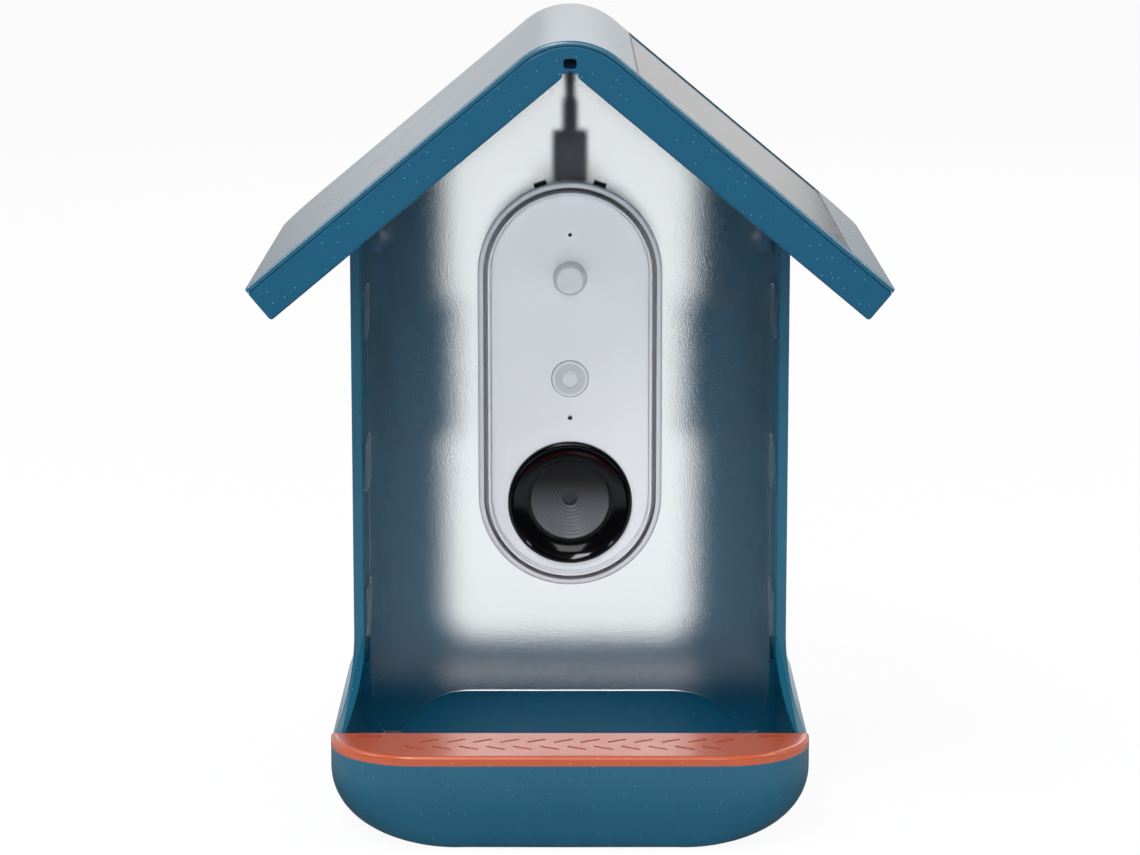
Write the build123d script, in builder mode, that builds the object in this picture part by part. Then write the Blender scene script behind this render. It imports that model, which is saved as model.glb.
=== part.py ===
from build123d import *
import os
from math import asin, atan2, cos, degrees, radians, sin, tan

# Smart bird feeder: a gabled house with an open front, a seed hopper behind a frosted window,
# a pill shaped camera in that window, a seed tray with a perch, and a solar panel on the roof.
# X is to the right, the front faces -Y and Z is up. The origin is on the ground at the centre.

# Overall sizes
roof_width = 190.0
roof_depth = 155.0
body_width = 133.2
rear_overhang = 11.5
front_overhang = 42.5
tray_setback = 7.5

# Roof sizes
roof_slope = 39.8
roof_thickness = 12.1
ridge_radius = 22.5
cover_thickness = 1.5
cover_edge_radius = 1.0
base_edge_radius = 0.8
eave_corner_radius = 1.0
rear_eave_radius = 16.0
roof_rib = 3.0
pocket_floor = 2.4
pocket_ridge_margin = 24.0
groove_top = 10.9
groove_top_half = 2.55
groove_foot_half = 3.7
port_slot_width = 4.8
port_slot_height = 1.25
port_slot_depth = 25.0
port_bar = 1.5
port_width = 3.8
port_height = 2.9
port_corner_radius = 0.9
port_depth = 7.0
keel_thickness = 4.0
keel_drop = 10.0
keel_front = -1.0
keel_rear = 52.0

# Housing sizes
wall = 3.2
floor_thickness = 3.4
foot_stand = 0.6
flare_run = 7.0
bowl_side_run = 21.0
foot_front_inset = 5.0
foot_rear_inset = 8.0
bowl_height = 20.0
rim_height = 27.4
flare_top = 60.0
sweep_top = 62.0
rear_corner_radius = 12.0
perch_corner_width = 26.6

# Rear opening, rear door and hinge sizes
opening_side = 25.6
opening_bottom = 34.0
opening_corner_radius = 10.0
gable_band = 8.0
vent_side = 25.1
vent_bottom = 19.4
vent_height = 5.6
bracket_drop = 5.9
bracket_boss_step = 3.5
bracket_boss_side_gap = 4.4
bracket_boss_height = 45.0
bracket_boss_depth = 9.0
bracket_insert_margin = 6.0
door_thickness = 2.6
door_overlap = 3.0
door_gap = 0.2
door_corner_radius = 4.0
hinge_height = 28.2
hinge_radius = 2.8
hinge_pin_radius = 1.25
hinge_pin_length = 84.0
hinge_clearance = 0.05
knuckle_length = 18.0
knuckle_centre = 27.0
lug_length = 5.8
lug_gap = 0.2
hinge_top_gap = 0.6
pull_width = 18.0
pull_height = 6.0
pull_depth = 3.0
pull_drop = 48.0
pull_corner_radius = 2.4
pull_edge_radius = 0.75
magnet_radius = 2.4
magnet_thickness = 1.6
magnet_rise = 14.5

# Window, window arms and seed outlet sizes
window_rear = -7.0
window_thickness = 2.0
window_clearance = 0.3
window_bottom = 21.0
window_corner_radius = 30.0
window_corner_drop = 15.0
window_top_gap = 1.5
outlet_side = 6.9
outlet_top = 34.7
outlet_corner_radius = 24.2
arm_thickness = 0.8
arm_height = 14.4
arm_front = -29.0
hook_length = 3.0
slot_height = 15.0
slot_length = 5.0
slot_depth = 1.6
slot_rise = 4.6
slot_top_drop = 25.95
slot_middle_share = 0.4914
dimple_drop = 22.8
dimple_radius = 0.8
dimple_depth = 1.0
window_hole_radius = 0.6
window_hole_drop = 7.7

# Perch sizes
perch_depth = 27.6
perch_thickness = 3.0
perch_gap = 0.2
perch_edge_radius = 1.2
perch_skirt = 2.0
perch_skirt_depth = 5.0
perch_skirt_gap = 0.3
perch_slot_length = 8.0
perch_slot_width = 1.4
perch_slot_inset = 12.0
perch_slot_setback = 4.5
grip_length = 7.0
grip_width = 1.2
grip_depth = 0.4
grip_pitch = 8.2
grip_row_pitch = 8.0
grip_count = 12
grip_turn = 32.0

# Seed ramp sizes
ramp_thickness = 2.0
ramp_rear_height = 18.8
ramp_front = -30.0
ramp_front_height = 5.2
ramp_rib_half_spacing = 20.0
ramp_rib_rear = 55.0
ramp_clearance = 0.2

# Pole mount, feet and drain sizes
insert_y = 18.0
insert_bore_radius = 2.55
insert_radius = 4.0
insert_length = 8.0
insert_boss_radius = 7.0
foot_pad_radius = 6.0
foot_pad_thickness = 1.8
foot_pad_half_x = 28.0
foot_pad_front_inset = 20.0
foot_pad_rear = 44.0
drain_radius = 1.6
drain_pitch = 16.0
drain_count = 5
drain_y = -36.0

# Camera dock and module sizes
window_below_dock = 35.0
pill_straight = 70.0
dock_half_width = 28.6
dock_wall = 1.7
dock_lip_radius = 0.9
dock_front = -11.5
dock_rear = -4.9
gasket_thickness = 1.0
fit_gap = 0.1
module_gap = 1.4
bezel_front = -12.6
bezel_wall = 1.0
bezel_edge_radius = 0.3
bezel_flare = 0.45
plate_front = -8.7
plate_thickness = 1.5
plate_ledge = 1.4
module_flange = 2.5
module_flange_thickness = 2.0
seal_thickness = 0.8
shell_rear = 26.0
shell_wall = 2.0
shell_inset = 1.0
shell_edge_radius = 2.5
clip_turn = 18.5
clip_width = 4.0
clip_thickness = 1.5
clip_gap = 0.3
clip_lip = 1.1

# Face features, from the centres of the pill's two round ends
lens_drop = 2.7
pir_drop = 1.65
light_rise = 11.9
button_share = 0.5545
mic_share = 0.38

# Lens sizes
lens_ring_radius = 19.4
lens_ring_inner = 13.5
lens_ring_proud = 1.2
lens_ring_ledge = 1.2
lens_flange = 0.5
lens_flange_thickness = 2.4
lens_rim = 0.9
lens_lip = 0.3
lens_glass_thickness = 1.4
lens_glass_setback = 1.6
baffle_floor = 1.0
baffle_aperture = 2.4
baffle_step_depth = 0.36
baffle_step_count = 10
barrel_radius = 7.2
objective_radius = 3.9
objective_thickness = 2.2
sensor_width = 9.0
sensor_thickness = 1.0

# Motion sensor, button, microphone and light pipe sizes
pir_base_radius = 5.1
pir_tip_radius = 4.2
pir_proud = 5.5
pir_wall = 1.1
pir_edge_radius = 0.8
pir_can_radius = 2.9
pir_can_height = 5.0
snap_flange = 1.0
snap_flange_thickness = 0.7
button_radius = 5.7
button_proud = 0.5
button_clearance = 0.15
button_edge_radius = 0.4
button_ring_inner = 2.1
button_ring_outer = 2.9
button_mark_depth = 0.25
button_mark_width = 0.8
button_travel = 0.8
stem_radius = 1.6
stem_length = 0.2
switch_width = 6.0
mic_hole_radius = 0.75
mic_width = 3.2
mic_thickness = 1.0
mic_seal_radius = 2.2
light_pipe_radius = 0.55
light_chip_width = 2.0
light_chip_thickness = 0.8

# Boards, battery and speaker sizes
board_thickness = 1.6
front_board_thickness = 1.2
front_board_rear = -3.0
front_board_width = 30.0
front_board_low_margin = 6.7
front_board_high_margin = 2.6
face_post_radius = 1.8
face_post_x = 11.5
main_board_front = 8.0
main_board_width = 35.0
main_board_low_margin = 11.7
main_board_high_margin = 3.6
post_radius = 2.4
post_x = 13.5
post_low_drop = 4.2
post_high_drop = 3.4
board_screw_radius = 1.0
board_screw_head_radius = 2.0
board_screw_head = 1.2
board_screw_length = 6.0
screw_clearance = 0.1
battery_width = 38.0
battery_post_gap = 4.6
battery_thickness = 9.5
battery_pad_thickness = 1.2
battery_corner_radius = 2.0
speaker_radius = 7.5
speaker_thickness = 5.0
speaker_drop = 15.2
speaker_hole_radius = 0.8
speaker_hole_ring = 4.0
speaker_hole_count = 6

# Charging plug, cable and gland sizes
plug_y = 5.2
plug_width = 11.0
plug_thickness = 6.4
plug_height = 15.8
plug_corner_radius = 1.6
plug_gap = 0.2
plug_shell_width = 8.3
plug_shell_thickness = 2.4
plug_shell_length = 6.4
socket_wall = 0.6
socket_gap = 0.15
socket_depth = 7.6
relief_height = 10.2
relief_base_radius = 2.35
relief_top_radius = 2.2
relief_edge_radius = 0.4
cable_drop = 10.2
cable_radius = 1.6
gland_radius = 4.4
gland_drop = 5.0
gland_seat = 4.4
gland_clearance = 0.05

# Solar panel sizes
panel_end_margin = 2.0
panel_eave_run = 16.5
panel_ridge_gap = 25.2
panel_recess = 0.35
panel_rim = 1.4
panel_floor = 0.5
cell_thickness = 0.3
cell_gap = 1.2
cell_columns = 4
charge_board_length = 44.0
charge_board_width = 30.0

# Roof screw sizes
roof_screw_radius = 1.4
roof_screw_head_radius = 2.6
roof_screw_head = 1.6
roof_screw_bite = 2.2
roof_screw_places = (8.0, 44.0)

# Overrun of every cut past the surface that it opens
overrun = 5.0

# Places that follow from the sizes
slope = radians(roof_slope)
roof_half_width = roof_width / 2
roof_front = -roof_depth / 2
roof_rear = roof_depth / 2
body_half = body_width / 2
inner_half = body_half - wall
tray_half = body_half + flare_run
foot_half_width = tray_half - bowl_side_run
tray_inner_half = tray_half - wall
body_rear = roof_rear - rear_overhang
body_front = roof_front + front_overhang
inner_rear = body_rear - wall
tray_front = roof_front + tray_setback
foot_pad_front = tray_front + foot_pad_front_inset
perch_rear = tray_front + perch_depth
wall_foot = perch_rear + perch_gap
bowl_top = foot_stand + bowl_height
window_front = window_rear - window_thickness
hinge_y = body_rear + door_gap + hinge_radius + lug_gap
door_front = body_rear + door_gap
door_rear = door_front + door_thickness
door_bottom = hinge_height + hinge_radius + hinge_top_gap
dock_inner = dock_half_width - dock_wall
module_half = dock_inner - module_gap
flange_half = module_half + module_flange
shell_half = flange_half - shell_inset
flange_front = dock_rear + gasket_thickness + fit_gap
flange_rear = flange_front + module_flange_thickness
shell_front = flange_rear + seal_thickness
plate_half = module_half - bezel_wall
plate_rear = plate_front + plate_thickness
ledge_half = plate_half - plate_ledge
shell_inner_rear = shell_rear - shell_wall
module_height = outlet_top + window_below_dock + dock_half_width + pill_straight / 2
shell_top = module_height + pill_straight / 2 + shell_half
lower_centre = module_height - pill_straight / 2
upper_centre = module_height + pill_straight / 2
lens_height = lower_centre - lens_drop
pir_height = upper_centre - pir_drop
light_height = upper_centre + light_rise
button_height = lens_height + (pir_height - lens_height) * button_share
mic_height = lens_height + (pir_height - lens_height) * mic_share
front_board_bottom = mic_height - front_board_low_margin
front_board_top = light_height + front_board_high_margin
main_board_bottom = lens_height - main_board_low_margin
main_board_top = light_height + main_board_high_margin
post_heights = (lens_height - post_low_drop, light_height - post_high_drop)
battery_height = post_heights[1] - post_heights[0] - 2 * (post_radius + battery_post_gap)
speaker_height = lower_centre - speaker_drop
front_board_front = front_board_rear - front_board_thickness
main_board_rear = main_board_front + board_thickness
plug_bottom = shell_top + plug_gap
plug_top = plug_bottom + plug_height
relief_top = plug_top + relief_height
gland_bottom = relief_top + cable_drop
underside_ridge = gland_bottom + gland_drop
gland_top = underside_ridge + gland_seat
sharp_ridge = underside_ridge + roof_thickness / cos(slope)
ridge_height = sharp_ridge - ridge_radius * (1 / cos(slope) - 1)
ridge_centre = ridge_height - ridge_radius
eave_height = sharp_ridge - roof_half_width * tan(slope)
wall_top = underside_ridge - inner_half * tan(slope)
slot_low = flare_top + slot_rise
slot_high = wall_top - slot_top_drop
slot_heights = (slot_low, slot_low + (slot_high - slot_low) * slot_middle_share, slot_high)
dimple_heights = [height - dimple_drop for height in slot_heights]
opening_half_width = body_half - opening_side
vent_half_width = body_half - vent_side
bracket_height = module_height - bracket_drop
bracket_boss_inner = opening_half_width - bracket_boss_step
bracket_boss_outer = inner_half - bracket_boss_side_gap
bracket_x = bracket_boss_outer - bracket_insert_margin
magnet_height = bracket_height + magnet_rise
pull_centre = underside_ridge - pull_drop
window_half = inner_half - window_clearance
outlet_half_width = window_half - outlet_side
flare_drop = flare_top - rim_height
panel_thickness = cover_thickness - panel_recess
panel_length = roof_depth - 2 * panel_end_margin
panel_width = roof_half_width / cos(slope) - panel_eave_run - panel_ridge_gap
glass_length = panel_length - 2 * panel_rim
glass_width = panel_width - 2 * panel_rim
flare_radius = (flare_run**2 + flare_drop**2) / (2 * flare_run)
flare_turn = asin(flare_drop / flare_radius)

# Turns of the bowl's elliptical side and shares of the walls' flare that sections are drawn at
bowl_turns = (0, 18, 36, 54, 72, 90)
flare_shares = (1, 2 / 3, 1 / 3, 0)


def facing(y):
    """Sketch plane across the feeder at y: sketch x is X and sketch y is Z."""
    return Plane.XZ.offset(-y)


def underside(x, gap=0):
    """Height of the roof's flat underside at x, less an upright gap."""
    return underside_ridge - abs(x) * tan(slope) - gap


def is_outer_edge(edge, depth):
    """Whether an edge of a roof slab lies on its outer face, which is depth below the roof's."""
    middle = edge @ (1 / 2)
    if abs(middle.X) < ridge_radius / 2:
        return middle.Z > ridge_height - depth - cover_thickness / 2
    face = sharp_ridge - abs(middle.X) * tan(slope) - depth / cos(slope)
    return middle.Z > face - cover_thickness / 2


def is_rear_eave_corner(edge):
    """Whether an edge of a roof slab is the short one where its rear end meets an eave."""
    reach = min(abs((edge @ 0).X), abs((edge @ 1).X))
    return reach > roof_half_width - roof_thickness and edge.center().Y > roof_rear - fit_gap


def slope_plane(side, depth, run):
    """Plane on a roof slope, depth below its face and run up from the eave; its x is Y."""
    x = roof_half_width - depth * sin(slope) - run * cos(slope)
    z = eave_height - depth * cos(slope) + run * sin(slope)
    return Plane(origin=(side * x, 0, z), x_dir=(0, 1, 0), z_dir=(side * sin(slope), 0, cos(slope)))


def clip_outline(y, turn, inner):
    """Outline of a dock clip beyond the pill's upper round end, turned about its centre."""
    with BuildSketch(facing(y)) as outline:
        with Locations((0, upper_centre)):
            with PolarLocations((inner + clip_outer) / 2, 1, 90 + turn):
                Rectangle(clip_outer - inner, clip_width)
    return outline.sketch


def panel_outline(depth, margin):
    """Outline of the solar panel on its slope, depth below the roof's face, with a margin around."""
    with BuildSketch(slope_plane(1, depth, panel_eave_run + panel_width / 2)) as outline:
        RectangleRounded(panel_length + 2 * margin, panel_width + 2 * margin, panel_rim)
    return outline.sketch


def roof_section(y, top, bottom, sharp_inside):
    """Gable slab between two depths below the roof's outer face, rounded over the ridge."""
    half_turn = roof_slope
    x_out = roof_half_width - top * sin(slope)
    z_out = eave_height - top * cos(slope)
    x_in = roof_half_width - bottom * sin(slope)
    z_in = eave_height - bottom * cos(slope)
    with BuildSketch(facing(y)) as section:
        with BuildLine():
            over = CenterArc((0, ridge_centre), ridge_radius - top, 90 - half_turn, 2 * half_turn)
            Line((x_out, z_out), over @ 0)
            Line(over @ 1, (-x_out, z_out))
            Line((-x_out, z_out), (-x_in, z_in))
            Line((x_out, z_out), (x_in, z_in))
            if sharp_inside:
                Line((x_in, z_in), (0, underside_ridge))
                Line((0, underside_ridge), (-x_in, z_in))
            else:
                under = CenterArc(
                    (0, ridge_centre),
                    ridge_radius - bottom,
                    90 - half_turn,
                    2 * half_turn,
                )
                Line((x_in, z_in), under @ 0)
                Line(under @ 1, (-x_in, z_in))
        make_face()
    return section.sketch


def pill(y, half_width):
    """Upright pill outline of the camera at y."""
    with BuildSketch(facing(y)) as outline:
        with Locations((0, module_height)):
            SlotOverall(pill_straight + 2 * half_width, 2 * half_width, rotation=90)
    return outline.sketch


def disc(y, z, radius, x=0):
    """Round outline at height z on the plane at y."""
    with BuildSketch(facing(y)) as outline:
        with Locations((x, z)):
            Circle(radius)
    return outline.sketch


def block(y, x, z, width, height, corner=0):
    """Rectangle centred at x and z on the plane at y, with rounded corners if asked."""
    with BuildSketch(facing(y)) as outline:
        with Locations((x, z)):
            if corner > 0:
                RectangleRounded(width, height, corner)
            else:
                Rectangle(width, height)
    return outline.sketch


def bowl_section(turn, inset, lift):
    """Plan of the tray bowl at one turn of its elliptical side, from the foot to the rim."""
    rise = sin(radians(turn))
    half = foot_half_width + (tray_half - foot_half_width) * rise - inset
    front = tray_front + foot_front_inset * (1 - rise) + inset
    rear = body_rear - foot_rear_inset * (1 - rise) - inset
    corner_x = perch_corner_width * half / tray_half
    corner_y = perch_depth - inset
    height = foot_stand + lift + bowl_height * (1 - cos(radians(turn)))
    with BuildSketch(Plane.XY.offset(height)) as plan:
        with BuildLine():
            Line((-half + corner_x, front), (half - corner_x, front))
            EllipticalCenterArc(
                (half - corner_x, front + corner_y),
                corner_x,
                corner_y,
                -90,
                arc_size=90,
            )
            Line((half, front + corner_y), (half, rear - rear_corner_radius))
            CenterArc((half - rear_corner_radius, rear - rear_corner_radius), rear_corner_radius, 0, 90)
            Line((half - rear_corner_radius, rear), (-half + rear_corner_radius, rear))
            CenterArc(
                (-half + rear_corner_radius, rear - rear_corner_radius),
                rear_corner_radius,
                90,
                90,
            )
            Line((-half, rear - rear_corner_radius), (-half, front + corner_y))
            EllipticalCenterArc(
                (-half + corner_x, front + corner_y),
                corner_x,
                corner_y,
                180,
                arc_size=90,
            )
        make_face()
    return plan.sketch


def bowl_sections(inset, lift):
    """The stack of plans that a bowl is lofted through."""
    return [bowl_section(turn, inset, lift) for turn in bowl_turns]


def bowl_space(inset, lift):
    """Body of the bowl from its foot to the rim, with its sides inset and its floor lifted."""
    with BuildPart(mode=Mode.PRIVATE) as space:
        loft(bowl_sections(inset, lift))
        extrude(bowl_section(90, inset, lift), amount=rim_height - bowl_top - lift)
    return space.part


def wall_plan(height, half):
    """Plan of the upper walls at a height, with round rear corners."""
    corner = rear_corner_radius
    with BuildSketch(Plane.XY.offset(height)) as plan:
        with BuildLine():
            Line((-half, tray_front), (half, tray_front))
            Line((half, tray_front), (half, body_rear - corner))
            CenterArc((half - corner, body_rear - corner), corner, 0, 90)
            Line((half - corner, body_rear), (-half + corner, body_rear))
            CenterArc((-half + corner, body_rear - corner), corner, 90, 90)
            Line((-half, body_rear - corner), (-half, tray_front))
        make_face()
    return plan.sketch


def flare_plan(share):
    """Plan of the upper walls at a share of their flared foot, from its top down to the rim."""
    turn = flare_turn * share
    return wall_plan(flare_top - flare_radius * sin(turn), body_half + flare_radius * (1 - cos(turn)))


def wall_profile(y, half, flare_half, bottom, top_gap):
    """Front view of the space between the walls: flared foot, upright sides and a gable top."""
    with BuildSketch(facing(y)) as profile:
        with BuildLine():
            right = TangentArc((half, flare_top), (flare_half, bottom), tangent=(0, -1))
            left = TangentArc((-half, flare_top), (-flare_half, bottom), tangent=(0, -1))
            Line(right @ 1, left @ 1)
            Line((half, flare_top), (half, underside(half, top_gap)))
            Line((-half, flare_top), (-half, underside(half, top_gap)))
            Line((half, underside(half, top_gap)), (0, underside(0, top_gap)))
            Line((-half, underside(half, top_gap)), (0, underside(0, top_gap)))
        make_face()
    return profile.sketch


def house_outline(y, half, bottom, top_gap, corner):
    """House shaped outline with rounded bottom corners, its top parallel to the roof."""
    with BuildSketch(facing(y)) as outline:
        with BuildLine():
            Polyline(
                (-half, bottom),
                (half, bottom),
                (half, underside(half, top_gap)),
                (0, underside(0, top_gap)),
                (-half, underside(half, top_gap)),
                close=True,
            )
        make_face()
        if corner > 0:
            fillet(outline.vertices().group_by(Axis.Z)[0], corner)
    return outline.sketch


# Upper walls: both side walls, their flared foot and the rear wall, before the inside is cut
with BuildPart() as upper_walls:
    extrude(wall_plan(flare_top, body_half), amount=ridge_height - flare_top)
    extrude(
        house_outline(body_rear + overrun, body_half, flare_top, 0, 0),
        amount=body_rear - tray_front + 2 * overrun,
        mode=Mode.INTERSECT,
    )
    loft([flare_plan(share) for share in flare_shares])
    with BuildSketch(Plane.YZ) as side_view:
        with BuildLine():
            sweep_arc = TangentArc((body_front, sweep_top), (wall_foot, rim_height), tangent=(0, -1))
            Line((body_front, sweep_top), (body_front, ridge_height))
            Line((body_front, ridge_height), (body_rear, ridge_height))
            Line((body_rear, ridge_height), (body_rear, rim_height))
            Line((body_rear, rim_height), sweep_arc @ 1)
        make_face()
    extrude(amount=roof_half_width, both=True, mode=Mode.INTERSECT)

# Space between the walls above the rim, open to the front and the top
with BuildPart() as inside_cut:
    extrude(
        wall_profile(inner_rear, inner_half, tray_inner_half, rim_height, -roof_thickness),
        amount=inner_rear - tray_front + overrun,
    )
    inside_edges = inside_cut.faces().sort_by(Axis.Y)[-1].edges()
    fillet(
        inside_edges.filter_by(lambda edge: abs(edge.center().X) > opening_half_width + wall),
        rear_corner_radius - wall,
    )

# Rear opening, narrowed at mid height by the two bracket bosses
with BuildPart() as rear_cut:
    extrude(
        house_outline(
            body_rear + overrun, opening_half_width, opening_bottom, gable_band, opening_corner_radius
        ),
        amount=wall + overrun + overrun,
    )

# Housing: side walls, rear frame and tray bowl moulded as one piece
with BuildPart() as housing_shell:
    add(bowl_space(0, 0))
    add(upper_walls.part)
    add(bowl_space(wall, floor_thickness), mode=Mode.SUBTRACT)
    add(inside_cut.part, mode=Mode.SUBTRACT)
    add(rear_cut.part, mode=Mode.SUBTRACT)

    # Bosses for the wall bracket, which carry the catch magnets too
    boss_width = bracket_boss_outer - bracket_boss_inner
    boss_x = (bracket_boss_outer + bracket_boss_inner) / 2
    magnet_x = (bracket_boss_inner + opening_half_width + door_overlap) / 2
    for side in (-1, 1):
        extrude(
            block(body_rear, side * boss_x, bracket_height, boss_width, bracket_boss_height),
            amount=bracket_boss_depth,
        )
        extrude(
            disc(body_rear, bracket_height, insert_radius, side * bracket_x),
            amount=insert_length,
            mode=Mode.SUBTRACT,
        )
        extrude(
            disc(body_rear, magnet_height, magnet_radius, side * magnet_x),
            amount=magnet_thickness,
            mode=Mode.SUBTRACT,
        )

    # Vent slot below the door
    extrude(
        block(body_rear + overrun, 0, vent_bottom + vent_height / 2, 2 * vent_half_width, vent_height),
        amount=wall + 2 * overrun,
        mode=Mode.SUBTRACT,
    )

    # Hinge lugs on the rear wall, a pair beside each knuckle of the door
    lug_offset = (knuckle_length + lug_length) / 2 + lug_gap
    lug_places = [knuckle_centre - lug_offset, knuckle_centre + lug_offset]
    for lug_x in lug_places + [-place for place in lug_places]:
        with BuildSketch(Plane.YZ.offset(lug_x - lug_length / 2)):
            with Locations((hinge_y, hinge_height)):
                Circle(hinge_radius)
            with Locations(((hinge_y + body_rear) / 2, hinge_height)):
                Rectangle(hinge_y - body_rear, 2 * hinge_radius)
            with Locations((hinge_y, hinge_height)):
                Circle(hinge_pin_radius, mode=Mode.SUBTRACT)
        extrude(amount=lug_length)

    # Slots for the window's hooks and small dimples between them, inside both side walls
    for side in (-1, 1):
        for height in slot_heights:
            with Locations((side * (inner_half + slot_depth / 2), arm_front + hook_length / 2, height)):
                Box(slot_depth, slot_length, slot_height, mode=Mode.SUBTRACT)
        for height in dimple_heights:
            with Locations(
                Location((side * inner_half, arm_front + hook_length / 2, height), (0, 90, 0))
            ):
                Cylinder(dimple_radius, 2 * dimple_depth, mode=Mode.SUBTRACT)
        for place in roof_screw_places:
            with Locations(
                Location((side * inner_half, place, underside(inner_half) - keel_drop / 2), (0, 90, 0))
            ):
                Cylinder(roof_screw_radius, 2 * roof_screw_bite, mode=Mode.SUBTRACT)

    # Boss and through hole for the pole insert, foot recesses and drain holes
    with BuildSketch(Plane.XY.offset(foot_stand)):
        with Locations((0, insert_y)):
            Circle(insert_boss_radius)
    extrude(amount=insert_length)
    with BuildSketch(Plane.XY.offset(foot_stand)):
        with Locations((0, insert_y)):
            Circle(insert_radius)
    extrude(amount=insert_length, mode=Mode.SUBTRACT)
    with BuildSketch(Plane.XY.offset(foot_stand)):
        for foot_y in (foot_pad_front, foot_pad_rear):
            with Locations((-foot_pad_half_x, foot_y), (foot_pad_half_x, foot_y)):
                Circle(foot_pad_radius)
    extrude(amount=foot_pad_thickness - foot_stand, mode=Mode.SUBTRACT)
    with BuildSketch(Plane.XY):
        with Locations((0, drain_y)):
            with GridLocations(drain_pitch, 0, drain_count, 1):
                Circle(drain_radius)
    extrude(amount=rim_height, mode=Mode.SUBTRACT)
housing_shell.part.label = "housing_shell"

# Seed ramp: sloping plate on two ribs, shaped to the inside of the bowl
with BuildPart() as seed_ramp:
    with BuildSketch(Plane.YZ):
        Polygon(
            (ramp_front, ramp_front_height),
            (inner_rear, ramp_rear_height),
            (inner_rear, ramp_rear_height - ramp_thickness),
            (ramp_front, ramp_front_height - ramp_thickness),
            align=None,
        )
    extrude(amount=tray_half, both=True)
    for side in (-1, 1):
        with BuildSketch(Plane.YZ.offset(side * ramp_rib_half_spacing - ramp_thickness / 2)):
            rib_reach = (ramp_rib_rear - ramp_front) / (inner_rear - ramp_front)
            rib_top = ramp_front_height + (ramp_rear_height - ramp_front_height) * rib_reach
            Polygon(
                (ramp_front, 0),
                (ramp_rib_rear, 0),
                (ramp_rib_rear, rib_top - ramp_thickness / 2),
                (ramp_front, ramp_front_height - ramp_thickness / 2),
                align=None,
            )
        extrude(amount=ramp_thickness)
    add(bowl_space(wall + ramp_clearance, floor_thickness), mode=Mode.INTERSECT)
seed_ramp.part.label = "seed_ramp"

# Perch: thin board over the front of the bowl, with a skirt that grips inside its rim
with BuildPart() as perch:
    extrude(bowl_section(90, 0, rim_height - bowl_top), amount=perch_thickness)
    with Locations((0, perch_rear, rim_height)):
        Box(
            roof_width,
            roof_depth,
            2 * perch_thickness + overrun,
            align=(Align.CENTER, Align.MIN, Align.CENTER),
            mode=Mode.SUBTRACT,
        )
    fillet(perch.faces().sort_by(Axis.Z)[-1].edges(), perch_edge_radius)
    skirt_inset = wall + perch_skirt_gap
    skirt_lift = rim_height - bowl_top - perch_skirt_depth
    with BuildPart(mode=Mode.PRIVATE) as skirt:
        extrude(bowl_section(90, skirt_inset, skirt_lift), amount=perch_skirt_depth)
        add(bowl_space(skirt_inset, floor_thickness), mode=Mode.INTERSECT)
        extrude(
            bowl_section(90, skirt_inset + perch_skirt, skirt_lift),
            amount=perch_skirt_depth,
            mode=Mode.SUBTRACT,
        )
        with Locations((0, perch_rear - perch_skirt, rim_height)):
            Box(
                roof_width,
                roof_depth,
                2 * perch_skirt_depth + overrun,
                align=(Align.CENTER, Align.MIN, Align.CENTER),
                mode=Mode.SUBTRACT,
            )
    add(skirt.part)
    perch_top = Plane.XY.offset(rim_height + perch_thickness)
    grip_y = tray_front + perch_depth / 2
    with BuildSketch(perch_top):
        for row in (-1, 1):
            with Locations((row * grip_pitch / 4, grip_y + row * grip_row_pitch / 2)):
                with GridLocations(grip_pitch, 0, grip_count, 1):
                    SlotOverall(grip_length, grip_width, rotation=row * grip_turn)
    extrude(amount=-grip_depth, mode=Mode.SUBTRACT)
    with BuildSketch(perch_top):
        for side in (-1, 1):
            with Locations((side * (tray_half - perch_slot_inset), perch_rear - perch_slot_setback)):
                SlotOverall(perch_slot_length, perch_slot_width)
    extrude(amount=-perch_thickness, mode=Mode.SUBTRACT)
perch.part.label = "perch"

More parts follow.
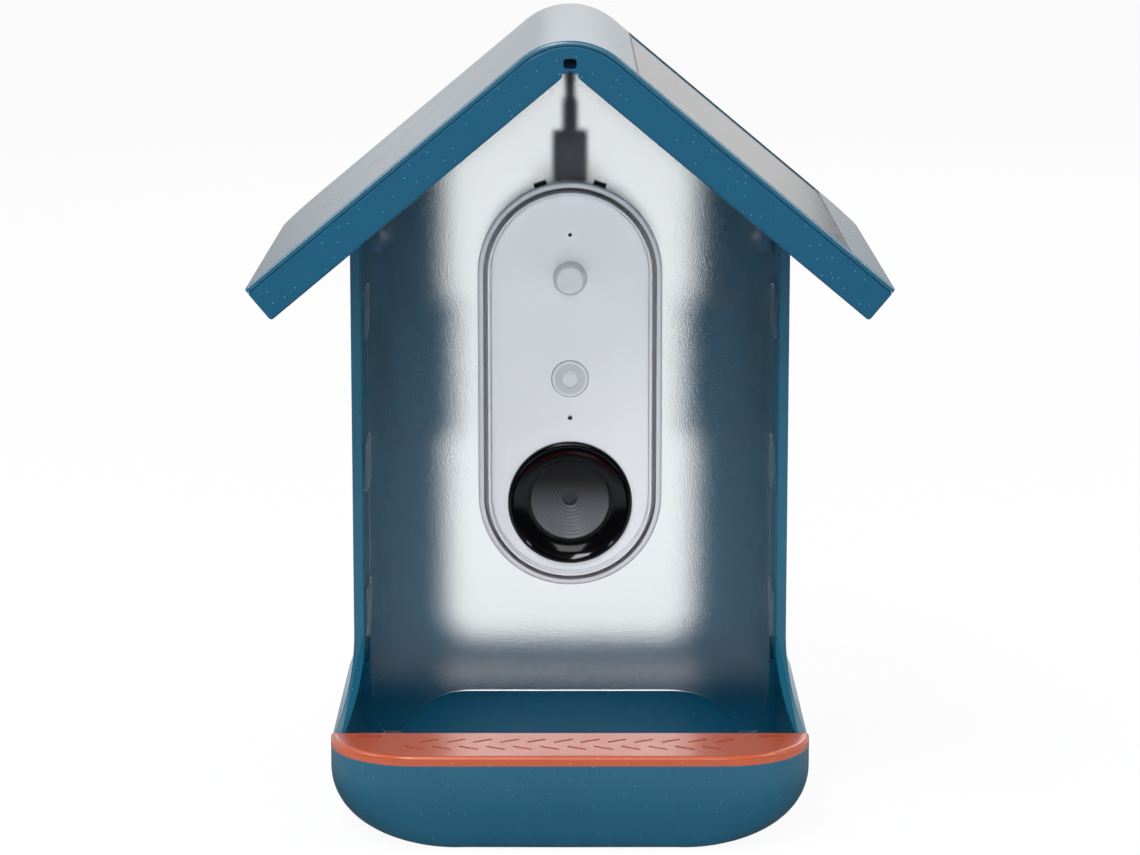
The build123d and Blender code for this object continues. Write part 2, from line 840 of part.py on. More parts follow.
# Roof base: deep gable slab with a pocket in each slope, two keels, a cable groove and a port
with BuildPart() as roof_base:
    extrude(roof_section(roof_rear, cover_thickness, roof_thickness, True), amount=roof_depth)
    fillet(roof_base.edges().filter_by(is_rear_eave_corner), rear_eave_radius)
    for end in (0, -1):
        end_edges = roof_base.faces().sort_by(Axis.Y)[end].edges()
        fillet(
            end_edges.filter_by(lambda edge: is_outer_edge(edge, cover_thickness)),
            base_edge_radius,
        )
    eave_edges = roof_base.edges().filter_by(Axis.Y).group_by(Axis.Z)[0]
    fillet(eave_edges, eave_corner_radius)
    pocket_run = roof_half_width / cos(slope) - pocket_ridge_margin
    pocket_width = pocket_run - 2 * roof_rib
    for side in (-1, 1):
        with BuildSketch(slope_plane(side, cover_thickness, pocket_run / 2)):
            Rectangle(roof_depth - 2 * roof_rib, pocket_width)
        extrude(amount=-(roof_thickness - cover_thickness - pocket_floor), mode=Mode.SUBTRACT)
        keel_outer = inner_half - window_clearance
        keel_inner = keel_outer - keel_thickness
        keel_low = underside(inner_half) - keel_drop
        with BuildSketch(facing(keel_rear)):
            Polygon(
                (side * keel_inner, keel_low),
                (side * keel_outer, keel_low),
                (side * keel_outer, underside(keel_outer) + pocket_floor / 2),
                (side * keel_inner, underside(keel_inner) + pocket_floor / 2),
                align=None,
            )
        extrude(amount=keel_rear - keel_front)
        for place in roof_screw_places:
            with Locations(
                Location((side * keel_outer, place, underside(inner_half) - keel_drop / 2), (0, 90, 0))
            ):
                Cylinder(
                    roof_screw_radius + screw_clearance,
                    2 * keel_thickness + overrun,
                    mode=Mode.SUBTRACT,
                )
    groove_height = ridge_height - groove_top
    groove_foot = underside(groove_foot_half)
    groove_spread = (groove_foot_half - groove_top_half) * overrun / (groove_height - groove_foot)
    with BuildSketch(facing(roof_rear)):
        Polygon(
            (-groove_top_half, groove_height),
            (groove_top_half, groove_height),
            (groove_foot_half + groove_spread, groove_foot - overrun),
            (-groove_foot_half - groove_spread, groove_foot - overrun),
            align=None,
        )
    extrude(amount=roof_depth, mode=Mode.SUBTRACT)
    slot_z = groove_height + port_slot_height / 2
    port_z = groove_height + port_slot_height + port_bar + port_height / 2
    extrude(
        block(roof_front + port_slot_depth, 0, slot_z, port_slot_width, port_slot_height),
        amount=port_slot_depth,
        mode=Mode.SUBTRACT,
    )
    extrude(
        block(roof_front + port_depth, 0, port_z, port_width, port_height, port_corner_radius),
        amount=port_depth,
        mode=Mode.SUBTRACT,
    )
    with BuildSketch(Plane.XY.offset(gland_bottom)):
        with Locations((0, plug_y)):
            Circle(gland_radius)
    extrude(amount=gland_top - gland_bottom, mode=Mode.SUBTRACT)
roof_base.part.label = "roof_base"

# Roof cover: thin skin over the base, with soft outer edges
with BuildPart() as roof_cover:
    extrude(roof_section(roof_rear, 0, cover_thickness, False), amount=roof_depth)
    fillet(roof_cover.edges().filter_by(is_rear_eave_corner), rear_eave_radius)
    for end in (0, -1):
        end_edges = roof_cover.faces().sort_by(Axis.Y)[end].edges()
        fillet(end_edges.filter_by(lambda edge: is_outer_edge(edge, 0)), cover_edge_radius)
    extrude(panel_outline(cover_thickness, fit_gap), amount=cover_thickness + overrun, mode=Mode.SUBTRACT)
roof_cover.part.label = "roof_cover"

# Gland: grommet under the ridge that the charging cable comes out of
with BuildPart() as cable_gland:
    with BuildSketch(Plane.XY.offset(gland_bottom)):
        with Locations((0, plug_y)):
            Circle(gland_radius - gland_clearance)
            Circle(cable_radius + gland_clearance, mode=Mode.SUBTRACT)
    extrude(amount=gland_top - gland_bottom)
cable_gland.part.label = "cable_gland"

# Charging cable: straight drop from the gland to the plug's strain relief
with BuildPart() as charging_cable:
    with BuildSketch(Plane.XY.offset(relief_top)):
        with Locations((0, plug_y)):
            Circle(cable_radius)
    extrude(amount=gland_top - relief_top)
charging_cable.part.label = "charging_cable"

# Tapered strain relief, and the moulded plug below it
with BuildPart() as strain_relief:
    with BuildSketch(Plane.XY.offset(plug_top)):
        with Locations((0, plug_y)):
            Circle(relief_base_radius)
    with BuildSketch(Plane.XY.offset(relief_top)):
        with Locations((0, plug_y)):
            Circle(relief_top_radius)
    loft()
    fillet(strain_relief.faces().sort_by(Axis.Z)[-1].edges(), relief_edge_radius)
strain_relief.part.label = "strain_relief"

with BuildPart() as charging_plug:
    with BuildSketch(Plane.XY.offset(plug_bottom)):
        with Locations((0, plug_y)):
            RectangleRounded(plug_width, plug_thickness, plug_corner_radius)
    extrude(amount=plug_height)
    fillet(charging_plug.faces().sort_by(Axis.Z)[-1].edges(), plug_corner_radius / 2)
charging_plug.part.label = "charging_plug"

with BuildPart() as plug_shell:
    with BuildSketch(Plane.XY.offset(plug_bottom)):
        with Locations((0, plug_y)):
            SlotOverall(plug_shell_width, plug_shell_thickness)
            SlotOverall(
                plug_shell_width - socket_wall, plug_shell_thickness - socket_wall, mode=Mode.SUBTRACT
            )
    extrude(amount=-plug_shell_length)
plug_shell.part.label = "plug_shell"

# Solar panel on the right slope: frame, cells and cover glass
panel_run = panel_eave_run + panel_width / 2
cell_depth = cover_thickness - panel_floor
with BuildPart() as solar_frame:
    extrude(panel_outline(cover_thickness, 0), amount=panel_thickness)
    with BuildSketch(slope_plane(1, panel_recess, panel_run)):
        Rectangle(glass_length, glass_width)
    extrude(amount=-(panel_thickness - panel_floor), mode=Mode.SUBTRACT)
solar_frame.part.label = "solar_frame"

cell_pitch = glass_length / cell_columns
with BuildPart() as solar_cells:
    with BuildSketch(slope_plane(1, cell_depth, panel_run)):
        with GridLocations(cell_pitch, 0, cell_columns, 1):
            Rectangle(cell_pitch - cell_gap, glass_width - cell_gap)
    extrude(amount=cell_thickness)
solar_cells.part.label = "solar_cells"

with BuildPart() as solar_glass:
    with BuildSketch(slope_plane(1, cell_depth - cell_thickness, panel_run)):
        Rectangle(glass_length, glass_width)
    extrude(amount=panel_thickness - panel_floor - cell_thickness)
solar_glass.part.label = "solar_glass"

with BuildPart() as charge_board:
    with BuildSketch(slope_plane(1, roof_thickness - pocket_floor, pocket_run / 2)):
        Rectangle(charge_board_length, charge_board_width)
    extrude(amount=board_thickness)
charge_board.part.label = "charge_board"

# Roof screws: pan heads on the keels, shanks into the side walls
with BuildPart() as roof_screws:
    head_x = keel_inner - roof_screw_head / 2
    shank = inner_half + roof_screw_bite - keel_inner
    screw_z = underside(inner_half) - keel_drop / 2
    for side in (-1, 1):
        for place in roof_screw_places:
            with Locations(Location((side * head_x, place, screw_z), (0, 90, 0))):
                Cylinder(roof_screw_head_radius, roof_screw_head)
            with Locations(Location((side * (keel_inner + shank / 2), place, screw_z), (0, 90, 0))):
                Cylinder(roof_screw_radius - screw_clearance / 2, shank)
roof_screws.part.label = "roof_screws"

# Hopper window: frosted panel with the camera's hole, the arched seed outlet and six side arms
with BuildPart() as hopper_window:
    extrude(
        house_outline(window_rear, window_half, window_bottom, window_top_gap, 0),
        amount=window_thickness,
    )
    extrude(
        block(
            window_rear,
            0,
            window_bottom - window_corner_drop + ridge_height / 2,
            2 * window_half,
            ridge_height,
            window_corner_radius,
        ),
        amount=window_thickness,
        mode=Mode.INTERSECT,
    )
    extrude(
        block(
            window_rear,
            0,
            outlet_top - outlet_half_width,
            2 * outlet_half_width,
            2 * outlet_half_width,
            outlet_corner_radius,
        ),
        amount=window_thickness,
        mode=Mode.SUBTRACT,
    )
    extrude(pill(window_rear, flange_half), amount=window_thickness, mode=Mode.SUBTRACT)
    extrude(
        disc(window_rear, underside(0, window_top_gap + window_hole_drop), window_hole_radius),
        amount=window_thickness,
        mode=Mode.SUBTRACT,
    )
    for side in (-1, 1):
        for height in slot_heights:
            with Locations((side * (window_half - arm_thickness / 2), arm_front, height)):
                Box(
                    arm_thickness,
                    window_front - arm_front,
                    arm_height,
                    align=(Align.CENTER, Align.MIN, Align.CENTER),
                )
            with Locations((side * (window_half + slot_depth / 2), arm_front, height)):
                Box(
                    slot_depth,
                    hook_length,
                    arm_height,
                    align=(Align.CENTER, Align.MIN, Align.CENTER),
                )
hopper_window.part.label = "hopper_window"

# Camera dock: stepped ring in the window that the camera slides into from behind
with BuildPart() as dock_ring:
    extrude(pill(window_front, dock_half_width), amount=window_front - dock_front)
    fillet(dock_ring.faces().sort_by(Axis.Y)[0].edges(), dock_lip_radius)
    extrude(pill(dock_rear, flange_half - fit_gap), amount=dock_rear - window_front)
    extrude(pill(dock_rear, dock_inner), amount=dock_rear - dock_front, mode=Mode.SUBTRACT)
dock_ring.part.label = "dock_ring"

with BuildPart() as dock_gasket:
    extrude(pill(dock_rear + gasket_thickness, flange_half - fit_gap), amount=gasket_thickness)
    extrude(pill(dock_rear + gasket_thickness, dock_inner), amount=gasket_thickness, mode=Mode.SUBTRACT)
dock_gasket.part.label = "dock_gasket"

# Two clips above the camera that hook behind its flange
dock_clips = []
clip_inner = flange_half + clip_gap
clip_outer = clip_inner + clip_thickness
hook_rear = flange_rear + clip_gap + clip_lip
for turn in (-clip_turn, clip_turn):
    with BuildPart() as dock_clip:
        extrude(clip_outline(hook_rear, turn, clip_inner), amount=hook_rear - window_rear)
        extrude(clip_outline(hook_rear, turn, clip_inner - clip_lip), amount=clip_lip)
    dock_clip.part.label = f"dock_clip_{len(dock_clips) + 1}"
    dock_clips.append(dock_clip)

# Camera front shell: tube with a deep rim, a ledge for the face plate and a rear flange
bezel_depth = plate_front - bezel_front
with BuildPart() as camera_front_shell:
    extrude(pill(flange_front, module_half), amount=flange_front - bezel_front)
    fillet(camera_front_shell.faces().sort_by(Axis.Y)[0].edges(), bezel_edge_radius)
    extrude(pill(flange_rear, flange_half), amount=module_flange_thickness)
    extrude(pill(plate_rear, plate_half), amount=plate_thickness, mode=Mode.SUBTRACT)
    extrude(
        pill(plate_front, plate_half),
        amount=bezel_depth,
        taper=-degrees(atan2(bezel_flare, bezel_depth)),
        mode=Mode.SUBTRACT,
    )
    extrude(pill(flange_rear, ledge_half), amount=flange_rear - bezel_front, mode=Mode.SUBTRACT)
camera_front_shell.part.label = "camera_front_shell"

with BuildPart() as shell_seal:
    extrude(pill(shell_front, shell_half), amount=seal_thickness)
    extrude(pill(shell_front, shell_half - shell_wall), amount=seal_thickness, mode=Mode.SUBTRACT)
shell_seal.part.label = "shell_seal"

# Camera rear shell: closed tub with board posts, speaker holes and the plug's opening
with BuildPart() as camera_rear_shell:
    extrude(pill(shell_rear, shell_half), amount=shell_rear - shell_front)
    fillet(camera_rear_shell.faces().sort_by(Axis.Y)[-1].edges(), shell_edge_radius)
    extrude(
        pill(shell_inner_rear, shell_half - shell_wall),
        amount=shell_inner_rear - shell_front,
        mode=Mode.SUBTRACT,
    )
    for height in post_heights:
        for side in (-1, 1):
            extrude(
                disc(shell_inner_rear, height, post_radius, side * post_x),
                amount=shell_inner_rear - main_board_rear,
            )
            extrude(
                disc(main_board_rear + board_screw_length, height, board_screw_radius, side * post_x),
                amount=board_screw_length,
                mode=Mode.SUBTRACT,
            )
    with BuildSketch(facing(shell_rear + overrun)):
        with Locations((0, speaker_height)):
            with PolarLocations(speaker_hole_ring, speaker_hole_count):
                Circle(speaker_hole_radius)
    extrude(amount=shell_wall + overrun, mode=Mode.SUBTRACT)
    with BuildSketch(Plane.XY.offset(shell_top + overrun)):
        with Locations((0, plug_y)):
            SlotOverall(plug_shell_width + 2 * socket_gap, plug_shell_thickness + 2 * socket_gap)
    extrude(amount=-(shell_wall + 2 * overrun), mode=Mode.SUBTRACT)
camera_rear_shell.part.label = "camera_rear_shell"

# Face plate: recessed plate with the openings for lens, sensor, button, microphone and light
with BuildPart() as face_plate:
    extrude(pill(plate_rear, plate_half - fit_gap), amount=plate_thickness)
    for height, radius in (
        (lens_height, lens_ring_radius + fit_gap),
        (pir_height, pir_base_radius + fit_gap),
        (button_height, button_radius + button_clearance),
        (mic_height, mic_hole_radius),
        (light_height, light_pipe_radius + fit_gap / 2),
    ):
        extrude(disc(plate_rear, height, radius), amount=plate_thickness, mode=Mode.SUBTRACT)
    post_low = front_board_bottom + 2 * face_post_radius
    post_high = front_board_top - 2 * face_post_radius
    for height in (post_low, post_high):
        for side in (-1, 1):
            extrude(
                disc(front_board_front, height, face_post_radius, side * face_post_x),
                amount=front_board_front - plate_rear,
            )
face_plate.part.label = "face_plate"

# Lens assembly: glossy ring, window glass, ringed baffle, barrel, front element and sensor
lens_plate_rear = plate_rear + fit_gap / 2
ring_rear = lens_plate_rear + lens_flange_thickness
ring_front = plate_front - lens_ring_proud
glass_front = plate_front + lens_glass_setback
glass_rear = glass_front + lens_glass_thickness
ledge_radius = lens_ring_inner - lens_ring_ledge
with BuildPart() as lens_ring:
    with BuildSketch(Plane.XY.offset(lens_height)):
        with BuildLine():
            funnel = ThreePointArc(
                (lens_ring_inner, glass_front - lens_lip),
                (
                    (lens_ring_inner + lens_ring_radius - lens_rim) / 2,
                    (glass_front + ring_front) / 2 + lens_lip,
                ),
                (lens_ring_radius - lens_rim, ring_front),
            )
            bead = CenterArc((lens_ring_radius - lens_rim, ring_front + lens_rim), lens_rim, -90, 90)
            Polyline(
                bead @ 1,
                (lens_ring_radius, lens_plate_rear),
                (lens_ring_radius + lens_flange, lens_plate_rear),
                (lens_ring_radius + lens_flange, ring_rear),
                (ledge_radius, ring_rear),
                (ledge_radius, glass_rear),
                (lens_ring_inner, glass_rear),
                funnel @ 0,
            )
        make_face()
    revolve(axis=Axis((0, 0, lens_height), (0, 1, 0)))
lens_ring.part.label = "lens_ring"

with BuildPart() as lens_glass:
    extrude(disc(glass_rear, lens_height, lens_ring_inner - fit_gap), amount=lens_glass_thickness)
lens_glass.part.label = "lens_glass"

baffle_front = glass_rear + fit_gap
baffle_edge = ledge_radius - fit_gap
baffle_step = (baffle_edge - baffle_aperture) / baffle_step_count
baffle_rear = baffle_front + baffle_step_count * baffle_step_depth + baffle_floor
with BuildPart() as lens_baffle:
    steps = []
    for step in range(baffle_step_count):
        outer = baffle_edge - step * baffle_step
        depth = baffle_front + step * baffle_step_depth
        steps += [(outer, depth), (outer - baffle_step, depth)]
    with BuildSketch(Plane.XY.offset(lens_height)):
        with BuildLine():
            Polyline(*steps, (baffle_aperture, baffle_rear), (baffle_edge, baffle_rear), close=True)
        make_face()
    revolve(axis=Axis((0, 0, lens_height), (0, 1, 0)))
lens_baffle.part.label = "lens_baffle"

with BuildPart() as lens_barrel:
    extrude(disc(main_board_front, lens_height, barrel_radius), amount=main_board_front - baffle_rear)
    extrude(
        disc(main_board_front, lens_height, objective_radius),
        amount=main_board_front - baffle_rear,
        mode=Mode.SUBTRACT,
    )
    extrude(
        block(main_board_front, 0, lens_height, sensor_width + fit_gap, sensor_width + fit_gap),
        amount=sensor_thickness,
        mode=Mode.SUBTRACT,
    )
lens_barrel.part.label = "lens_barrel"

with BuildPart() as objective_lens:
    extrude(
        disc(baffle_rear + objective_thickness, lens_height, objective_radius - fit_gap / 2),
        amount=objective_thickness,
    )
    fillet(objective_lens.faces().sort_by(Axis.Y)[0].edges(), objective_thickness / 2)
objective_lens.part.label = "objective_lens"

with BuildPart() as image_sensor:
    extrude(block(main_board_front, 0, lens_height, sensor_width, sensor_width), amount=sensor_thickness)
image_sensor.part.label = "image_sensor"

# Motion sensor: hollow domed nub through the plate, with the sensor can inside it
with BuildPart() as motion_lens:
    with BuildSketch(facing(plate_front)):
        with Locations((0, pir_height)):
            Circle(pir_base_radius)
    with BuildSketch(facing(plate_front - pir_proud)):
        with Locations((0, pir_height)):
            Circle(pir_tip_radius)
    loft()
    fillet(motion_lens.faces().sort_by(Axis.Y)[0].edges(), pir_edge_radius)
    extrude(disc(plate_rear, pir_height, pir_base_radius), amount=plate_thickness)
    extrude(
        disc(plate_rear + snap_flange_thickness, pir_height, pir_base_radius + snap_flange),
        amount=snap_flange_thickness,
    )
    bore_depth = plate_rear + snap_flange_thickness - plate_front + pir_proud - pir_wall
    extrude(
        disc(plate_rear + snap_flange_thickness, pir_height, pir_tip_radius - pir_wall),
        amount=bore_depth,
        mode=Mode.SUBTRACT,
    )
motion_lens.part.label = "motion_lens"

with BuildPart() as motion_sensor:
    extrude(disc(front_board_front, pir_height, pir_can_radius), amount=pir_can_height)
motion_sensor.part.label = "motion_sensor"

# Power button: cap with a plain ring mark, held by a flange behind the plate
button_rear = plate_rear + fit_gap
with BuildPart() as power_button:
    extrude(
        disc(button_rear, button_height, button_radius),
        amount=button_rear - plate_front + button_proud,
    )
    fillet(power_button.faces().sort_by(Axis.Y)[0].edges(), button_edge_radius)
    mark_plane = plate_front - button_proud + button_mark_depth
    with BuildSketch(facing(mark_plane)):
        with Locations((0, button_height)):
            Circle(button_ring_outer)
            Circle(button_ring_inner, mode=Mode.SUBTRACT)
        with Locations((0, button_height + button_ring_outer)):
            Rectangle(2 * button_mark_width, button_ring_outer, mode=Mode.SUBTRACT)
            Rectangle(button_mark_width, button_ring_outer)
    extrude(amount=button_mark_depth, mode=Mode.SUBTRACT)
    extrude(
        disc(button_rear + snap_flange_thickness, button_height, button_radius + snap_flange),
        amount=snap_flange_thickness,
    )
    extrude(
        disc(button_rear + snap_flange_thickness + stem_length, button_height, stem_radius),
        amount=stem_length,
    )
power_button.part.label = "power_button"

switch_front = button_rear + snap_flange_thickness + stem_length + button_travel + fit_gap
with BuildPart() as button_switch:
    extrude(
        block(front_board_front, 0, button_height, switch_width, switch_width),
        amount=front_board_front - switch_front,
    )
button_switch.part.label = "button_switch"

# Microphone with its seal, and the status light with its pipe
with BuildPart() as microphone:
    extrude(block(front_board_front, 0, mic_height, mic_width, mic_width), amount=mic_thickness)
microphone.part.label = "microphone"

with BuildPart() as microphone_seal:
    seal_depth = front_board_front - mic_thickness - plate_rear
    extrude(disc(front_board_front - mic_thickness, mic_height, mic_seal_radius), amount=seal_depth)
    extrude(
        disc(front_board_front - mic_thickness, mic_height, mic_hole_radius),
        amount=seal_depth,
        mode=Mode.SUBTRACT,
    )
microphone_seal.part.label = "microphone_seal"

with BuildPart() as status_light:
    extrude(
        block(front_board_front, 0, light_height, light_chip_width, light_chip_width),
        amount=light_chip_thickness,
    )
status_light.part.label = "status_light"

with BuildPart() as light_pipe:
    pipe_rear = front_board_front - light_chip_thickness
    extrude(disc(pipe_rear, light_height, light_pipe_radius), amount=pipe_rear - plate_front)
    extrude(
        disc(pipe_rear, light_height, light_pipe_radius + snap_flange),
        amount=pipe_rear - plate_rear,
    )
light_pipe.part.label = "light_pipe"

# Boards, their screws, battery, battery pad, speaker and charging socket
with BuildPart() as front_board:
    front_board_height = front_board_top - front_board_bottom
    front_board_z = (front_board_top + front_board_bottom) / 2
    extrude(
        block(front_board_rear, 0, front_board_z, front_board_width, front_board_height),
        amount=front_board_thickness,
    )
front_board.part.label = "front_board"

with BuildPart() as main_board:
    main_board_height = main_board_top - main_board_bottom
    main_board_z = (main_board_top + main_board_bottom) / 2
    extrude(
        block(main_board_rear, 0, main_board_z, main_board_width, main_board_height),
        amount=board_thickness,
    )
    tab_height = plug_bottom - plug_shell_length - main_board_top
    extrude(
        block(main_board_rear, 0, main_board_top + tab_height / 2, plug_width, tab_height),
        amount=board_thickness,
    )
    for height in post_heights:
        for side in (-1, 1):
            extrude(
                disc(main_board_rear, height, board_screw_radius + screw_clearance, side * post_x),
                amount=board_thickness,
                mode=Mode.SUBTRACT,
            )
main_board.part.label = "main_board"

with BuildPart() as board_screws:
    shank_rear = main_board_rear + board_screw_length - screw_clearance
    for height in post_heights:
        for side in (-1, 1):
            extrude(
                disc(main_board_front, height, board_screw_head_radius, side * post_x),
                amount=board_screw_head,
            )
            extrude(
                disc(shank_rear, height, board_screw_radius - screw_clearance / 2, side * post_x),
                amount=shank_rear - main_board_front,
            )
board_screws.part.label = "board_screws"

with BuildPart() as battery:
    battery_rear = shell_inner_rear - battery_pad_thickness
    extrude(
        block(
            battery_rear,
            0,
            sum(post_heights) / 2,
            battery_width,
            battery_height,
            battery_corner_radius,
        ),
        amount=battery_thickness,
    )
battery.part.label = "battery"

with BuildPart() as battery_pad:
    extrude(
        block(shell_inner_rear, 0, sum(post_heights) / 2, battery_width / 2, battery_height / 2),
        amount=battery_pad_thickness,
    )
battery_pad.part.label = "battery_pad"

with BuildPart() as speaker:
    extrude(disc(shell_inner_rear, speaker_height, speaker_radius), amount=speaker_thickness)
speaker.part.label = "speaker"

with BuildPart() as charging_socket:
    socket_width = plug_shell_width + 2 * (socket_gap + socket_wall)
    socket_thickness = 2 * (main_board_front - plug_y)
    socket_top = plug_bottom - plug_gap - shell_wall - socket_wall
    with BuildSketch(Plane.XY.offset(socket_top)):
        with Locations((0, plug_y)):
            RectangleRounded(socket_width, socket_thickness, socket_wall)
    extrude(amount=-socket_depth)
    with BuildSketch(Plane.XY.offset(socket_top)):
        with Locations((0, plug_y)):
            SlotOverall(plug_shell_width + 2 * socket_gap, plug_shell_thickness + 2 * socket_gap)
    extrude(amount=-(socket_depth - socket_wall), mode=Mode.SUBTRACT)
charging_socket.part.label = "charging_socket"

# Rear door: clear overlay panel with two hinge knuckles, a pull and its catch magnets
with BuildPart() as rear_door:
    extrude(
        house_outline(
            door_rear,
            opening_half_width + door_overlap,
            door_bottom,
            gable_band - door_overlap / cos(slope),
            door_corner_radius,
        ),
        amount=door_thickness,
    )
    for side in (-1, 1):
        with BuildSketch(Plane.YZ.offset(side * knuckle_centre - knuckle_length / 2)):
            with Locations((hinge_y, hinge_height)):
                Circle(hinge_radius)
            web_height = door_bottom - hinge_height + door_corner_radius
            with Locations(((door_front + door_rear) / 2, hinge_height + web_height / 2)):
                Rectangle(door_thickness, web_height)
            with Locations((hinge_y, hinge_height)):
                Circle(hinge_pin_radius + hinge_clearance, mode=Mode.SUBTRACT)
        extrude(amount=knuckle_length)
        extrude(
            disc(door_front + magnet_thickness, magnet_height, magnet_radius, side * magnet_x),
            amount=magnet_thickness,
            mode=Mode.SUBTRACT,
        )
rear_door.part.label = "rear_door"

with BuildPart() as door_pull:
    extrude(
        block(door_rear + pull_depth, 0, pull_centre, pull_width, pull_height, pull_corner_radius),
        amount=pull_depth,
    )
    fillet(door_pull.faces().sort_by(Axis.Y)[-1].edges(), pull_edge_radius)
door_pull.part.label = "door_pull"

with BuildPart() as hinge_pin:
    with BuildSketch(Plane.YZ.offset(-hinge_pin_length / 2)):
        with Locations((hinge_y, hinge_height)):
            Circle(hinge_pin_radius)
    extrude(amount=hinge_pin_length)
hinge_pin.part.label = "hinge_pin"

catch_magnets = []
door_magnets = []
for side in (-1, 1):
    with BuildPart() as catch_magnet:
        extrude(disc(body_rear, magnet_height, magnet_radius, side * magnet_x), amount=magnet_thickness)
    catch_magnet.part.label = f"catch_magnet_{len(catch_magnets) + 1}"
    catch_magnets.append(catch_magnet)
    with BuildPart() as door_magnet:
        extrude(
            disc(door_front + magnet_thickness, magnet_height, magnet_radius, side * magnet_x),
            amount=magnet_thickness,
        )
    door_magnet.part.label = f"door_magnet_{len(door_magnets) + 1}"
    door_magnets.append(door_magnet)

# Threaded inserts: one in the base for a pole, two in the rear wall for a bracket
with BuildPart() as pole_insert:
    with BuildSketch(Plane.XY.offset(foot_stand)):
        with Locations((0, insert_y)):
            Circle(insert_radius)
            Circle(insert_bore_radius, mode=Mode.SUBTRACT)
    extrude(amount=insert_length)
pole_insert.part.label = "pole_insert"

bracket_inserts = []
for side in (-1, 1):
    with BuildPart() as bracket_insert:
        extrude(disc(body_rear, bracket_height, insert_radius, side * bracket_x), amount=insert_length)
        extrude(
            disc(body_rear, bracket_height, insert_bore_radius, side * bracket_x),
            amount=insert_length,
            mode=Mode.SUBTRACT,
        )
    bracket_insert.part.label = f"bracket_insert_{len(bracket_inserts) + 1}"
    bracket_inserts.append(bracket_insert)

# Four rubber feet in their recesses
feet = []
for foot_y in (foot_pad_front, foot_pad_rear):
    for side in (-1, 1):
        with BuildPart() as foot:
            with BuildSketch(Plane.XY):
                with Locations((side * foot_pad_half_x, foot_y)):
                    Circle(foot_pad_radius - fit_gap)
            extrude(amount=foot_pad_thickness)
        foot.part.label = f"foot_{len(feet) + 1}"
        feet.append(foot)

pieces = [
    housing_shell,
    seed_ramp,
    perch,
    pole_insert,
    *bracket_inserts,
    *feet,
    roof_base,
    roof_cover,
    roof_screws,
    charge_board,
    solar_frame,
    solar_cells,
    solar_glass,
    cable_gland,
    charging_cable,
    strain_relief,
    charging_plug,
    plug_shell,
    hopper_window,
    dock_ring,
    dock_gasket,
    *dock_clips,
    camera_front_shell,
    shell_seal,
    camera_rear_shell,
    face_plate,
    lens_ring,
    lens_glass,
    lens_baffle,
    lens_barrel,
    objective_lens,
    image_sensor,
    motion_lens,
    motion_sensor,
    power_button,
    button_switch,
    microphone,
    microphone_seal,
    status_light,
    light_pipe,
    front_board,
    main_board,
    board_screws,
    battery,
    battery_pad,
    speaker,
    charging_socket,
    rear_door,
    door_pull,
    hinge_pin,
    *catch_magnets,
    *door_magnets,
]

os.makedirs("parts", exist_ok=True)
for piece in pieces:
    export_step(piece.part, f"parts/{piece.part.label}.step")
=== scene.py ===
# %% [markdown]
# # A smart bird feeder, dressed in Blender
#
# The feeder is a small gabled house. Seed is stored behind a frosted window, a pill shaped camera
# looks out through that window, and birds stand on an orange perch over a rounded tray. This file
# is a lesson in cells: it loads the solid model, lights it as for a shop photograph, and gives
# each surface the finish that the real one has. Small things that the solid model leaves plain,
# such as threads, ribs and screw recesses, are modelled here too.

# %% Load the solid model
from math import cos, pi, radians, sin

import bmesh
import bpy
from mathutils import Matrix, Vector


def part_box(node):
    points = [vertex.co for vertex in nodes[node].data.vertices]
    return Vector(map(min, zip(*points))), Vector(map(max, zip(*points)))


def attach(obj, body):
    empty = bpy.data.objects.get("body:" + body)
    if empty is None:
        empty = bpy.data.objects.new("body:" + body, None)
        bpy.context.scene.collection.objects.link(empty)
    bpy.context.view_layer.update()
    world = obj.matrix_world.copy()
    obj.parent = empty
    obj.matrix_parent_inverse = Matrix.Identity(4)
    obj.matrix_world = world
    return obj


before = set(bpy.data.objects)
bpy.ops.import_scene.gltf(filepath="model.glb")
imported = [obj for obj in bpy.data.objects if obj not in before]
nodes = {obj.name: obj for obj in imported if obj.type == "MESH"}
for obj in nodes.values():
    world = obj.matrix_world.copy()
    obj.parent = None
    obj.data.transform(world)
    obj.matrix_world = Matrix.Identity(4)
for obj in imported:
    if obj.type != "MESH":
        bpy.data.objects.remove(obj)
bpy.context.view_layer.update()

MM = 0.001

# %% [markdown]
# ## Camera
#
# The photograph was taken from straight in front, a little above the feeder, from just over a
# metre away. The eave corners, the ridge and the perch give the distance and the tilt, so the
# camera is placed by numbers and aimed at a point halfway up the house.

# %% Place the camera
AIM_HEIGHT = 0.1179
CAMERA_DISTANCE = 1.135
CAMERA_TILT = radians(10.66)
FOCAL_LENGTH_MM = 113.75
SENSOR_WIDTH_MM = 36.0

camera_data = bpy.data.cameras.new("photo_camera")
camera_data.lens = FOCAL_LENGTH_MM
camera_data.sensor_width = SENSOR_WIDTH_MM
camera_data.clip_start = 0.05
camera_data.clip_end = 50.0
camera = bpy.data.objects.new("photo_camera", camera_data)
bpy.context.scene.collection.objects.link(camera)
aim = Vector((0.0, 0.0, AIM_HEIGHT))
back = Vector((0.0, -cos(CAMERA_TILT), sin(CAMERA_TILT)))
camera.location = aim + back * CAMERA_DISTANCE
camera.rotation_euler = (-back).to_track_quat("-Z", "Y").to_euler()
bpy.context.scene.camera = camera
bpy.context.scene.view_settings.view_transform = "Standard"
print("camera at", tuple(round(v, 4) for v in camera.location))

# %% [markdown]
# ## Node helpers
#
# A look in Blender is a small graph of nodes. Each helper below adds one node, feeds it with
# numbers or with the outputs of other nodes, and returns its own output, so that a graph reads
# like a formula.

# %% Helpers that add one node each


